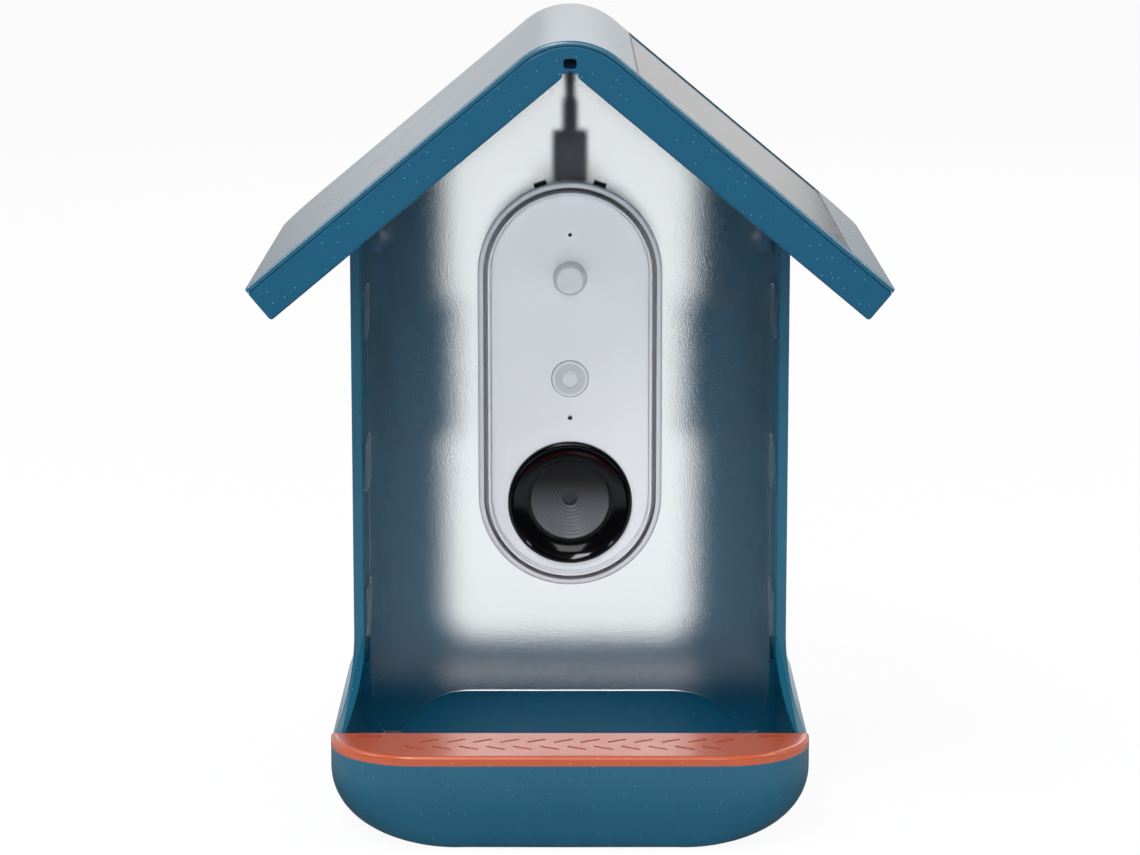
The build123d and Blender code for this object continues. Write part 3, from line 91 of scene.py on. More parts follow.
def plug(tree, given, socket):
    """Sets a socket to a number or a colour, or links an output to it."""
    if isinstance(given, (int, float, tuple)):
        socket.default_value = given
    else:
        tree.links.new(given, socket)


def math_node(tree, operation, *terms, clamp=False):
    """Math node on one or two terms."""
    node = tree.nodes.new("ShaderNodeMath")
    node.operation = operation
    node.use_clamp = clamp
    for term, socket in zip(terms, node.inputs):
        plug(tree, term, socket)
    return node.outputs[0]


def ramp_between(tree, value, low, high, start=0.0, end=1.0, how="SMOOTHSTEP"):
    """Runs from start at low to end at high, and stays level beyond them."""
    node = tree.nodes.new("ShaderNodeMapRange")
    node.interpolation_type = how
    terms = {"Value": value, "From Min": low, "From Max": high, "To Min": start, "To Max": end}
    for label, term in terms.items():
        plug(tree, term, node.inputs[label])
    return node.outputs["Result"]


def mix_colour(tree, amount, a, b):
    """Colour mix of a and b."""
    node = tree.nodes.new("ShaderNodeMix")
    node.data_type = "RGBA"
    node.clamp_result = True
    plug(tree, amount, node.inputs["Factor"])
    plug(tree, a, node.inputs[6])
    plug(tree, b, node.inputs[7])
    return node.outputs[2]


def mix_shaders(tree, amount, a, b):
    """Mix of two shaders."""
    node = tree.nodes.new("ShaderNodeMixShader")
    for given, socket in zip((amount, a, b), node.inputs):
        plug(tree, given, socket)
    return node.outputs[0]


def parts_of(tree, place):
    """X, Y and Z of a place or a direction."""
    node = tree.nodes.new("ShaderNodeSeparateXYZ")
    tree.links.new(place, node.inputs[0])
    return node.outputs


def noise(tree, place, scale, detail):
    """Soft noise with so many lumps per metre."""
    node = tree.nodes.new("ShaderNodeTexNoise")
    plug(tree, scale, node.inputs["Scale"])
    node.inputs["Detail"].default_value = detail
    tree.links.new(place, node.inputs["Vector"])
    return node.outputs["Fac"]


def relief(tree, height, distance, strength=1.0):
    """Normal of a surface that a height map raises."""
    node = tree.nodes.new("ShaderNodeBump")
    node.inputs["Strength"].default_value = strength
    node.inputs["Distance"].default_value = distance
    tree.links.new(height, node.inputs["Height"])
    return node.outputs["Normal"]


# %% [markdown]
# ## Studio
#
# The background of the photograph is pure white. A lamp strong enough to make a white sweep clip
# would also bleach the feeder, so the world and the floor are white only to the rays that look at
# them directly or through the clear plastic, and everything else is lit at a plain level. A
# studio is dark where the photographer stands. Rays that reflect off a surface see that too: the
# front of the feeder keeps its deep colour, while the roof, which mirrors the wall behind it,
# turns pale, and the upright faces mirror the pool of light on the table.
#
# Lamps don't shine through a clear pane in this renderer, so inside the seed store the sky is
# given a little more light in their place.

# %% Which rays see what
HALF_BOUNCE = 0.5


def seen_directly(tree):
    """1 for rays that look straight at a surface, or at it through the clear plastic."""
    path = tree.nodes.new("ShaderNodeLightPath").outputs
    looks = math_node(tree, "MAXIMUM", path["Is Camera Ray"], path["Is Transmission Ray"])
    bounces = math_node(tree, "ADD", path["Diffuse Depth"], path["Glossy Depth"])
    return math_node(tree, "MULTIPLY", looks, math_node(tree, "LESS_THAN", bounces, HALF_BOUNCE))


def seen_in_gloss(tree):
    """1 for rays that have reflected off glossy surfaces only, also through a pane."""
    path = tree.nodes.new("ShaderNodeLightPath").outputs
    glossy = math_node(tree, "GREATER_THAN", path["Glossy Depth"], HALF_BOUNCE)
    unscattered = math_node(tree, "LESS_THAN", path["Diffuse Depth"], HALF_BOUNCE)
    return math_node(tree, "MULTIPLY", glossy, unscattered)


def by_ray(tree, lit, mirrored, seen, share=1.0):
    """One shader that lights, one that gloss mirrors, and a share of one that is looked at."""
    unseen = mix_shaders(tree, seen_in_gloss(tree), lit.outputs[0], mirrored.outputs[0])
    looked_at = math_node(tree, "MULTIPLY", seen_directly(tree), share)
    return mix_shaders(tree, looked_at, unseen, seen.outputs[0])


# %% A world that is white to look at, softer as a light and dark behind the photographer
SKY_LIGHT = 0.38
PANE_BOOST = 4.5
FRONT_SHADE = 0.06
REAR_WALL = 0.86
SHADE_END = -0.35
WALL_START = 0.6
RISE_SHARE = 0.7

world = bpy.data.worlds.new("white_studio")
bpy.context.scene.world = world
world.use_nodes = True
tree = world.node_tree
tree.nodes.clear()
lit = tree.nodes.new("ShaderNodeBackground")
lit.inputs["Color"].default_value = (0.94, 0.97, 1.0, 1.0)
through = tree.nodes.new("ShaderNodeLightPath").outputs["Is Transmission Ray"]
boost = math_node(tree, "MULTIPLY", through, PANE_BOOST)
plug(tree, math_node(tree, "ADD", boost, SKY_LIGHT), lit.inputs["Strength"])
mirrored = tree.nodes.new("ShaderNodeBackground")
way = parts_of(tree, tree.nodes.new("ShaderNodeTexCoord").outputs["Generated"])
rearward = math_node(tree, "ADD", way["Y"], math_node(tree, "MULTIPLY", way["Z"], RISE_SHARE))
wall = ramp_between(tree, rearward, SHADE_END, WALL_START, FRONT_SHADE, REAR_WALL)
plug(tree, wall, mirrored.inputs["Strength"])
seen = tree.nodes.new("ShaderNodeBackground")
out = tree.nodes.new("ShaderNodeOutputWorld")
plug(tree, by_ray(tree, lit, mirrored, seen), out.inputs["Surface"])

# %% A white floor that keeps a faint shadow
FLOOR_RADIUS = 4.0
NEAR_FLOOR = 1.0
FAR_FLOOR = 0.08
POOL_FADES = (0.3, 1.1)
# These dim the pool of light close to the feeder: a painted shadow, seen in reflections.
POOL_SHADOW_FADES = (0.08, 0.24)
POOL_SHADOW_LIGHT = 0.1
FLOOR_WHITE = 0.93

bpy.ops.object.select_all(action="DESELECT")
bpy.ops.mesh.primitive_circle_add(
    vertices=96, radius=FLOOR_RADIUS, fill_type="NGON", location=(0, 0, 0)
)
floor = bpy.context.object
floor.name = "studio_floor"
floor_look = bpy.data.materials.new("white_floor")
floor_look.use_nodes = True
tree = floor_look.node_tree
tree.nodes.clear()
matt = tree.nodes.new("ShaderNodeBsdfDiffuse")
matt.inputs["Color"].default_value = (0.88, 0.89, 0.9, 1.0)
glow = tree.nodes.new("ShaderNodeEmission")
pool = tree.nodes.new("ShaderNodeEmission")
pool.inputs["Color"].default_value = (0.82, 0.93, 1.0, 1.0)
reach = tree.nodes.new("ShaderNodeVectorMath")
reach.operation = "LENGTH"
plug(tree, tree.nodes.new("ShaderNodeNewGeometry").outputs["Position"], reach.inputs[0])
falloff = ramp_between(tree, reach.outputs["Value"], *POOL_FADES, NEAR_FLOOR, FAR_FLOOR)
# Painted shadow: the pool of light is dimmed close to the feeder.
painted_pool_shadow = ramp_between(tree, reach.outputs["Value"], *POOL_SHADOW_FADES, POOL_SHADOW_LIGHT)
plug(tree, math_node(tree, "MULTIPLY", falloff, painted_pool_shadow), pool.inputs["Strength"])
out = tree.nodes.new("ShaderNodeOutputMaterial")
plug(tree, by_ray(tree, matt, pool, glow, FLOOR_WHITE), out.inputs["Surface"])
floor.data.materials.append(floor_look)

# %% [markdown]
# The main lamp hangs high in front and a little to the left. It throws the deep roof's shadow
# over the top of the camera and the frosted window, lights the seed tray, and puts the two bright
# arcs into the black lens ring. A soft box on each side draws the bright line along the roof's
# edges.

# %% Soft lamps
LAMP_TARGET = Vector((0.0, 0.0, 0.11))
LAMPS = (
    # name, place, side in metres, watts
    ("main_lamp", (-0.35, -0.85, 1.5), 0.5, 15.0),
    ("left_box", (-1.25, -0.3, 1.2), 0.55, 7.0),
    ("right_box", (1.25, -0.3, 1.2), 0.55, 7.0),
    ("front_fill", (0.0, -2.1, 1.15), 0.9, 13.0),
    ("rear_lamp", (0.2, 1.7, 1.1), 1.0, 6.0),
)
for name, place, side, watts in LAMPS:
    data = bpy.data.lights.new(name, "AREA")
    data.shape = "SQUARE"
    data.size = side
    data.energy = watts
    lamp = bpy.data.objects.new(name, data)
    bpy.context.scene.collection.objects.link(lamp)
    lamp.location = place
    lamp.rotation_euler = (LAMP_TARGET - Vector(place)).to_track_quat("-Z", "Y").to_euler()

# %% [markdown]
# ## Shared surface effects
#
# Most of the house is one kind of plastic: recycled resin with tiny pale flecks in it. Two node
# groups make it. One scatters flecks, and the other gives any moulding its fine grain: a
# roughness that wanders a little and a very low bump. They are built once and placed in each
# material with its own colours and sizes.

# %% Start a node group


def group_of(name, ins, outs):
    """Empty shader group with named sockets; an input is (name, kind, value)."""
    group = bpy.data.node_groups.new(name, "ShaderNodeTree")
    for label, kind, value in ins:
        socket = group.interface.new_socket(label, in_out="INPUT", socket_type=kind)
        if value is not None:
            socket.default_value = value
    for label, kind in outs:
        group.interface.new_socket(label, in_out="OUTPUT", socket_type=kind)
    start = group.nodes.new("NodeGroupInput")
    end = group.nodes.new("NodeGroupOutput")
    return group, start.outputs, end.inputs


# %% Flecks of recycled plastic
FLECK_FADES = (0.07, 0.16)
FLECK_STRENGTH = 0.6
CLOUDS_PER_METRE = 38.0

flecks, start, end = group_of(
    "recycled_flecks",
    [
        ("Place", "NodeSocketVector", None),
        ("Base", "NodeSocketColor", (0.02, 0.11, 0.18, 1.0)),
        ("Fleck", "NodeSocketColor", (0.4, 0.6, 0.66, 1.0)),
        ("Cells per metre", "NodeSocketFloat", 330.0),
        ("Share", "NodeSocketFloat", 0.3),
        ("Cloud", "NodeSocketFloat", 0.12),
    ],
    [("Colour", "NodeSocketColor")],
)
cells = flecks.nodes.new("ShaderNodeTexVoronoi")
plug(flecks, start["Place"], cells.inputs["Vector"])
plug(flecks, start["Cells per metre"], cells.inputs["Scale"])
chance = flecks.nodes.new("ShaderNodeSeparateColor")
plug(flecks, cells.outputs["Color"], chance.inputs[0])
faded = ramp_between(flecks, cells.outputs["Distance"], *FLECK_FADES)
dot = math_node(flecks, "SUBTRACT", 1.0, faded)
kept = math_node(flecks, "LESS_THAN", chance.outputs[0], start["Share"])
strength = math_node(flecks, "MULTIPLY", kept, chance.outputs[1])
strength = math_node(flecks, "MULTIPLY", strength, FLECK_STRENGTH)
mask = math_node(flecks, "MULTIPLY", dot, strength, clamp=True)
clouds = noise(flecks, start["Place"], CLOUDS_PER_METRE, 3.0)
shade = math_node(flecks, "MULTIPLY", math_node(flecks, "SUBTRACT", clouds, 0.5), start["Cloud"])
shade = math_node(flecks, "ADD", shade, 1.0)
clouded = flecks.nodes.new("ShaderNodeVectorMath")
clouded.operation = "SCALE"
plug(flecks, start["Base"], clouded.inputs[0])
plug(flecks, shade, clouded.inputs["Scale"])
plug(flecks, mix_colour(flecks, mask, clouded.outputs[0], start["Fleck"]), end["Colour"])

# %% Fine grain of a moulding
SMEARS_PER_METRE = 24.0

grain, start, end = group_of(
    "moulded_grain",
    [
        ("Place", "NodeSocketVector", None),
        ("Grains per metre", "NodeSocketFloat", 2600.0),
        ("Roughness", "NodeSocketFloat", 0.42),
        ("Spread", "NodeSocketFloat", 0.12),
    ],
    [("Roughness", "NodeSocketFloat"), ("Height", "NodeSocketFloat")],
)
pits = noise(grain, start["Place"], start["Grains per metre"], 2.0)
smears = noise(grain, start["Place"], SMEARS_PER_METRE, 5.0)
wander = math_node(grain, "MULTIPLY", math_node(grain, "SUBTRACT", smears, 0.5), start["Spread"])
plug(grain, math_node(grain, "ADD", start["Roughness"], wander, clamp=True), end["Roughness"])
plug(grain, pits, end["Height"])

# %% [markdown]
# ## Materials
#
# Each finish below is a Principled shader of its own with the shared groups plugged into it. What
# is the same all over a surface, such as its clearness, is set on the shader itself.

# %% Material builders
MOULDED_GRAINS = 2600.0
GRAIN_DEPTH = 0.04 * MM


def linear(red, green, blue):
    """Linear colour from the usual 0 to 255 values."""
    parts = []
    for value in (red, green, blue):
        value = value / 255
        parts.append(value / 12.92 if value <= 0.04045 else ((value + 0.055) / 1.055) ** 2.4)
    return (*parts, 1.0)


def shader_of(look):
    """Principled shader of a finish."""
    return look.node_tree.nodes["Principled BSDF"]


def place_of(look):
    """Object coordinates in a finish."""
    return look.node_tree.nodes["Texture Coordinate"].outputs["Object"]


def set_inputs(look, **values):
    """Sets what is the same all over a surface; Coat_Weight stands for Coat Weight."""
    for label, value in values.items():
        shader_of(look).inputs[label.replace("_", " ")].default_value = value


def blank_finish(name):
    """Material with a Principled shader, and the object coordinates to drive it."""
    look = bpy.data.materials.new(name)
    look.use_nodes = True
    look.node_tree.nodes.new("ShaderNodeTexCoord")
    return look, look.node_tree, shader_of(look), place_of(look)


def add_grain(tree, shader, place, grains, roughness, spread, bump, depth=GRAIN_DEPTH):
    """Plugs the moulded grain into a shader's roughness and normal."""
    node = tree.nodes.new("ShaderNodeGroup")
    node.node_tree = grain
    node.inputs["Grains per metre"].default_value = grains
    node.inputs["Roughness"].default_value = roughness
    node.inputs["Spread"].default_value = spread
    plug(tree, place, node.inputs["Place"])
    plug(tree, node.outputs["Roughness"], shader.inputs["Roughness"])
    plug(tree, relief(tree, node.outputs["Height"], depth, bump), shader.inputs["Normal"])


def flecked_plastic(name, base, fleck, roughness, share, cells_per_metre, bump=0.25):
    """Moulded plastic with pale flecks."""
    look, tree, shader, place = blank_finish(name)
    node = tree.nodes.new("ShaderNodeGroup")
    node.node_tree = flecks
    node.inputs["Base"].default_value = base
    node.inputs["Fleck"].default_value = fleck
    node.inputs["Cells per metre"].default_value = cells_per_metre
    node.inputs["Share"].default_value = share
    plug(tree, place, node.inputs["Place"])
    plug(tree, node.outputs["Colour"], shader.inputs["Base Color"])
    add_grain(tree, shader, place, MOULDED_GRAINS, roughness, 0.1, bump)
    return look


def plain_moulding(name, base, roughness, grains=MOULDED_GRAINS, spread=0.08, bump=0.2, cloud=0.06):
    """Moulded plastic, rubber or painted part in one colour that varies a little."""
    look, tree, shader, place = blank_finish(name)
    dark = tuple(v * (1 - cloud) for v in base[:3]) + (1.0,)
    pale = tuple(min(1.0, v * (1 + cloud)) for v in base[:3]) + (1.0,)
    patches = noise(tree, place, 60.0, 4.0)
    plug(tree, mix_colour(tree, patches, dark, pale), shader.inputs["Base Color"])
    add_grain(tree, shader, place, grains, roughness, spread, bump)
    return look


def metal_finish(name, base, roughness):
    """Metal with a fine uneven polish."""
    look = plain_moulding(name, base, roughness, grains=900.0, spread=0.15, bump=0.1, cloud=0.04)
    set_inputs(look, Metallic=1.0)
    return look


def clear_finish(
    name, base, roughness, ior=1.5, spread=0.02, bump=0.0, grains=1400.0, depth=GRAIN_DEPTH
):
    """Clear or frosted plastic or glass."""
    look, tree, shader, place = blank_finish(name)
    set_inputs(look, Base_Color=base, Transmission_Weight=1.0, IOR=ior)
    add_grain(tree, shader, place, grains, roughness, spread, bump, depth)
    return look


# %% The house, roof and perch
PALE_TEAL = linear(128, 176, 188)
PALE_ORANGE = linear(236, 190, 160)
FINE_CELLS = 620.0
WIDE_CELLS = 480.0

house_teal = flecked_plastic("house_teal", linear(4, 84, 110), PALE_TEAL, 0.5, 0.5, FINE_CELLS)
roof_teal = flecked_plastic("roof_teal", linear(0, 78, 108), PALE_TEAL, 0.45, 0.6, FINE_CELLS)
ramp_teal = flecked_plastic("ramp_teal", linear(2, 78, 106), PALE_TEAL, 0.6, 0.4, FINE_CELLS)
cover_teal = flecked_plastic(
    "cover_teal", linear(36, 88, 112), PALE_TEAL, 0.2, 0.2, WIDE_CELLS, bump=0.06
)
perch_orange = flecked_plastic(
    "perch_orange", linear(178, 80, 46), PALE_ORANGE, 0.34, 0.22, WIDE_CELLS
)
set_inputs(house_teal, Specular_IOR_Level=0.12, Coat_Roughness=0.3)
set_inputs(roof_teal, Specular_IOR_Level=0.3)
set_inputs(ramp_teal, Specular_IOR_Level=0.12)
set_inputs(cover_teal, Coat_Weight=0.6, Coat_Roughness=0.22)
set_inputs(perch_orange, Specular_IOR_Level=0.2, Coat_Weight=0.7, Coat_Roughness=0.16)

# %% [markdown]
# The outside of the house is polished in the mould and the inside is left matt, so that seed and
# feathers don't scratch it visibly. The gloss is a clear coat whose weight is a mask: it is 1
# outside the walls and on the bowl, and 0 between the walls. The walls flare out to the bowl at
# their foot, so the mask's width follows the height.

# %% Polish on the outside of the house only
FLARE_HEIGHTS = (0.028, 0.060)
FLARE_HALF_WIDTHS = (0.0708, 0.0638)
INSIDE_FRONT = -0.0672
INSIDE_REAR = 0.0632
INSIDE_FOOT = 0.0275

tree = house_teal.node_tree
spot = parts_of(tree, place_of(house_teal))
half_width = ramp_between(tree, spot["Z"], *FLARE_HEIGHTS, *FLARE_HALF_WIDTHS, how="LINEAR")
inside = math_node(tree, "LESS_THAN", math_node(tree, "ABSOLUTE", spot["X"]), half_width)
for operation, axis, limit in (
    ("GREATER_THAN", "Y", INSIDE_FRONT),
    ("LESS_THAN", "Y", INSIDE_REAR),
    ("GREATER_THAN", "Z", INSIDE_FOOT),
):
    within = math_node(tree, operation, spot[axis], limit)
    inside = math_node(tree, "MULTIPLY", inside, within)
outside = math_node(tree, "SUBTRACT", 1.0, inside)
plug(tree, outside, shader_of(house_teal).inputs["Coat Weight"])

# %% [markdown]
# The frosted window is clear plastic with a fine bump all over. The bump scatters what is seen
# through it, so that the seed store's opening shows as a soft bright shape.

# %% Clear and frosted plastic
frosted_window = clear_finish(
    "frosted_window", linear(250, 251, 252), 0.11, bump=1.0, grains=3500.0, depth=0.06 * MM
)
clear_panel = clear_finish("clear_panel", linear(246, 249, 250), 0.03, ior=1.46)
lens_clear = clear_finish("lens_clear", linear(225, 228, 240), 0.02, spread=0.01)
panel_clear = clear_finish("panel_clear", linear(240, 244, 248), 0.08, spread=0.03)
lens_front = plain_moulding("lens_front", linear(8, 8, 12), 0.05, spread=0.02, bump=0.0)
set_inputs(lens_front, Alpha=0.14)

# %% Camera, cable and small parts
camera_grey = plain_moulding("camera_grey", linear(226, 228, 233), 0.38, bump=0.12, cloud=0.02)
camera_rim_grey = plain_moulding(
    "camera_rim_grey", linear(205, 208, 214), 0.4, bump=0.12, cloud=0.02
)
button_grey = plain_moulding("button_grey", linear(214, 217, 222), 0.34, bump=0.1, cloud=0.02)
lens_black = plain_moulding("lens_black", linear(5, 5, 7), 0.1, spread=0.03, bump=0.02)
set_inputs(lens_black, Specular_IOR_Level=0.25)
barrel_black = plain_moulding("barrel_black", linear(30, 30, 33), 0.4, bump=0.1)
milky_dome = plain_moulding("milky_dome", linear(212, 214, 218), 0.3, bump=0.08, cloud=0.02)
cable_grey = plain_moulding("cable_grey", linear(70, 73, 80), 0.5)
black_rubber = plain_moulding("black_rubber", linear(34, 34, 36), 0.62, bump=0.4)
solar_black = plain_moulding("solar_black", linear(26, 28, 34), 0.3, bump=0.1)
board_green = plain_moulding("board_green", linear(16, 84, 50), 0.3, bump=0.1)
chip_black = plain_moulding("chip_black", linear(28, 28, 30), 0.5)
battery_silver = plain_moulding("battery_silver", linear(186, 188, 192), 0.3)
foam_white = plain_moulding("foam_white", linear(226, 226, 220), 0.8, grains=1500.0, bump=0.6)
plated_steel = metal_finish("plated_steel", linear(196, 197, 200), 0.28)
insert_brass = metal_finish("insert_brass", linear(206, 170, 96), 0.3)

# %% [markdown]
# The lens sits at the bottom of a shallow funnel that is turned with fine rings. The solid has
# its steps; the funnel's slope and rings are added as relief, from the distance to the lens's
# axis. The funnel's grey is painted from light at its foot to dark at its top: painted shade
# that stands in for the light from above.

# %% Distance from an axis that runs front to back


def middle_of(name):
    """Middle of a node's box."""
    low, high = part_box(name)
    return tuple((a + b) / 2 for a, b in zip(low, high))


def axis_distance(tree, place, height):
    """Distance from the axis at x = 0 and a height."""
    flat = tree.nodes.new("ShaderNodeVectorMath")
    flat.operation = "MULTIPLY_ADD"
    flat.inputs[1].default_value = (1.0, 0.0, 1.0)
    flat.inputs[2].default_value = (0.0, 0.0, -height)
    plug(tree, place, flat.inputs[0])
    length = tree.nodes.new("ShaderNodeVectorMath")
    length.operation = "LENGTH"
    plug(tree, flat.outputs[0], length.inputs[0])
    return length.outputs["Value"]


# %% Lens funnel
FUNNEL_SLOPE = 0.8
TURNED_RING_PITCH = 1.1 * MM
TURNED_RING_DEPTH = 0.04 * MM
# Heights between which the funnel's grey runs from its lit foot to its dark top: painted shade.
PAINTED_SHADE_BELOW = 7.5 * MM
PAINTED_SHADE_ABOVE = 8.5 * MM
FUNNEL_LIT_FOOT = linear(138, 138, 147)
FUNNEL_SHADED_TOP = linear(28, 27, 33)

baffle_grey, tree, shader, place = blank_finish("baffle_grey")
add_grain(tree, shader, place, MOULDED_GRAINS, 0.34, 0.05, 0.1)
lens_height = middle_of("lens_baffle")[2]
# Painted shade: the funnel's grey darkens towards the top, as if the light from above didn't reach
# it.
painted_shade = ramp_between(
    tree, parts_of(tree, place)["Z"], lens_height - PAINTED_SHADE_BELOW, lens_height + PAINTED_SHADE_ABOVE
)
plug(tree, mix_colour(tree, painted_shade, FUNNEL_LIT_FOOT, FUNNEL_SHADED_TOP), shader.inputs["Base Color"])
radius = axis_distance(tree, place, lens_height)
waves = math_node(tree, "SINE", math_node(tree, "MULTIPLY", radius, 2 * pi / TURNED_RING_PITCH))
waves = math_node(tree, "MULTIPLY", waves, TURNED_RING_DEPTH)
slope = math_node(tree, "MULTIPLY", radius, FUNNEL_SLOPE)
plug(tree, relief(tree, math_node(tree, "ADD", slope, waves), 1.0), shader.inputs["Normal"])

# %% Button with a pale grey ring printed round its middle
RING_STARTS = (2.1 * MM, 2.5 * MM)
RING_ENDS = (4.6 * MM, 5.0 * MM)
RING_STRENGTH = 0.5
RING_GREY = linear(168, 171, 178)

tree = button_grey.node_tree
colour = shader_of(button_grey).inputs["Base Color"]
radius = axis_distance(tree, place_of(button_grey), middle_of("power_button")[2])
ring = math_node(
    tree,
    "SUBTRACT",
    ramp_between(tree, radius, *RING_STARTS),
    ramp_between(tree, radius, *RING_ENDS),
)
printed = math_node(tree, "MULTIPLY", ring, RING_STRENGTH)
plug(tree, mix_colour(tree, printed, colour.links[0].from_socket, RING_GREY), colour)

# %% Solar cells
FINGER_SCALE = 160.0
FINGER_FADES = (0.93, 0.99)

solar_cells_look, tree, shader, place = blank_finish("solar_cells")
fingers = tree.nodes.new("ShaderNodeTexWave")
fingers.wave_type = "BANDS"
fingers.bands_direction = "Y"
fingers.inputs["Scale"].default_value = FINGER_SCALE
fingers.inputs["Distortion"].default_value = 0.0
plug(tree, place, fingers.inputs["Vector"])
thin = ramp_between(tree, fingers.outputs["Fac"], *FINGER_FADES)
striped = mix_colour(tree, thin, linear(16, 20, 38), linear(120, 126, 138))
plug(tree, striped, shader.inputs["Base Color"])
add_grain(tree, shader, place, 1800.0, 0.25, 0.1, 0.1)

# %% [markdown]
# ## Dressing the solid pieces
#
# A node of the solid model whose shape is right stays, and only its material changes.

# %% Finish of each node
finishes = {
    "housing_shell": house_teal,
    "seed_ramp": ramp_teal,
    "perch": perch_orange,
    "pole_insert": insert_brass,
    "bracket_insert_1": insert_brass,
    "bracket_insert_2": insert_brass,
    "foot_1": black_rubber,
    "foot_2": black_rubber,
    "foot_3": black_rubber,
    "foot_4": black_rubber,
    "roof_base": roof_teal,
    "roof_cover": cover_teal,
    "roof_screws": plated_steel,
    "charge_board": board_green,
    "solar_frame": solar_black,
    "solar_cells": solar_cells_look,
    "solar_glass": panel_clear,
    "cable_gland": black_rubber,
    "charging_cable": cable_grey,
    "strain_relief": cable_grey,
    "charging_plug": cable_grey,
    "plug_shell": plated_steel,
    "hopper_window": frosted_window,
    "dock_ring": camera_rim_grey,
    "dock_gasket": black_rubber,
    "dock_clip_1": panel_clear,
    "dock_clip_2": panel_clear,
    "camera_front_shell": camera_grey,
    "shell_seal": black_rubber,
    "camera_rear_shell": camera_grey,
    "face_plate": camera_grey,
    "lens_ring": lens_black,
    "lens_glass": lens_front,
    "lens_baffle": baffle_grey,
    "lens_barrel": barrel_black,
    "objective_lens": lens_clear,
    "image_sensor": chip_black,
    "motion_lens": milky_dome,
    "motion_sensor": plated_steel,
    "power_button": button_grey,
    "button_switch": chip_black,
    "microphone": plated_steel,
    "microphone_seal": black_rubber,
    "status_light": foam_white,
    "light_pipe": clear_panel,
    "front_board": board_green,
    "main_board": board_green,
    "board_screws": plated_steel,
    "battery": battery_silver,
    "battery_pad": foam_white,
    "speaker": chip_black,
    "charging_socket": plated_steel,
    "rear_door": clear_panel,
    "door_pull": perch_orange,
    "hinge_pin": plated_steel,
    "catch_magnet_1": plated_steel,
    "catch_magnet_2": plated_steel,
    "door_magnet_1": plated_steel,
    "door_magnet_2": plated_steel,
}
for name, node in nodes.items():
    node.data.materials.clear()
    node.data.materials.append(finishes[name])
print("finished", len(finishes), "nodes")

# %% [markdown]
# ## Small pieces
#
# What follows is modelled by hand, each piece from a primitive that is shaped in edit mode and
# finished with modifiers. Some helpers are shared: they clear the selection, draw a box, pick
# faces, round edges and join copies. The last one ends every piece. It applies the object's
# place, so that its mesh holds it, and makes the piece ride on the body that carries it.

# %% Begin, shape and end a piece
MERGE_DISTANCE = 0.000001
SMOOTH_BELOW = radians(35)
BEVEL_ABOVE = radians(40)


def select_only(*pieces):
    """Leaves just these objects selected, the last one active."""
    if bpy.context.object and bpy.context.object.mode != "OBJECT":
        bpy.ops.object.mode_set(mode="OBJECT")
    bpy.ops.object.select_all(action="DESELECT")
    for piece in pieces:
        piece.select_set(True)
        bpy.context.view_layer.objects.active = piece


def block(place, size):
    """Box of a size round a place."""
    bpy.ops.mesh.primitive_cube_add(size=1.0, location=place)
    piece = bpy.context.object
    piece.scale = size
    select_only(piece)
    bpy.ops.object.transform_apply(location=False, rotation=False, scale=True)
    return piece


def pick_faces(piece, test):
    """Goes into edit mode on a piece with only the faces selected that pass a test."""
    select_only(piece)
    bpy.ops.object.mode_set(mode="EDIT")
    bpy.ops.mesh.select_mode(type="FACE")
    bpy.ops.mesh.select_all(action="DESELECT")
    work = bmesh.from_edit_mesh(piece.data)
    for face in work.faces:
        if test(face):
            face.select_set(True)
    bmesh.update_edit_mesh(piece.data)


def soften(piece, width, segments=2):
    """Bevels every sharp edge of a piece."""
    select_only(piece)
    bpy.ops.object.modifier_add(type="BEVEL")
    bevel = piece.modifiers[-1]
    bevel.width = width
    bevel.segments = segments
    bevel.limit_method = "ANGLE"
    bevel.angle_limit = BEVEL_ABOVE
    bpy.ops.object.modifier_apply(modifier=bevel.name)


def copies_of(piece, offsets):
    """Joins copies of a piece, moved by each offset, into one object."""
    made = [piece]
    for offset in offsets[1:]:
        twin = piece.copy()
        twin.data = piece.data.copy()
        bpy.context.scene.collection.objects.link(twin)
        twin.location = piece.location + Vector(offset)
        made.append(twin)
    piece.location = piece.location + Vector(offsets[0])
    select_only(*made)
    bpy.ops.object.join()
    return bpy.context.object


def settle(piece, name, look, body="house"):
    """Applies a piece's place, names it, and gives it its finish and its body."""
    select_only(piece)
    bpy.ops.object.transform_apply(location=True, rotation=True, scale=True)
    bpy.ops.object.mode_set(mode="EDIT")
    bpy.ops.mesh.select_all(action="SELECT")
    bpy.ops.mesh.remove_doubles(threshold=MERGE_DISTANCE)
    bpy.ops.mesh.normals_make_consistent(inside=False)
    bpy.ops.object.mode_set(mode="OBJECT")
    bpy.ops.object.shade_smooth_by_angle(angle=SMOOTH_BELOW)
    piece.name = name
    piece.data.name = name
    piece.data.materials.clear()
    piece.data.materials.append(look)
    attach(piece, body)
    print(name, len(piece.data.polygons), "faces")


# %% [markdown]
# **Vent grille.** Air enters the seed store through a slot under the rear door. The light through
# it is dim in the photograph, because a grille of close slats keeps seed in and insects out. One
# slat is a cube drawn thin and softened, the others are copies, and a rail holds them.

# %% Vent grille
GRILLE_PLACE = (0.0, 64.5 * MM, 22.2 * MM)
SLAT_COUNT = 30
SLAT_PITCH = 2.74 * MM

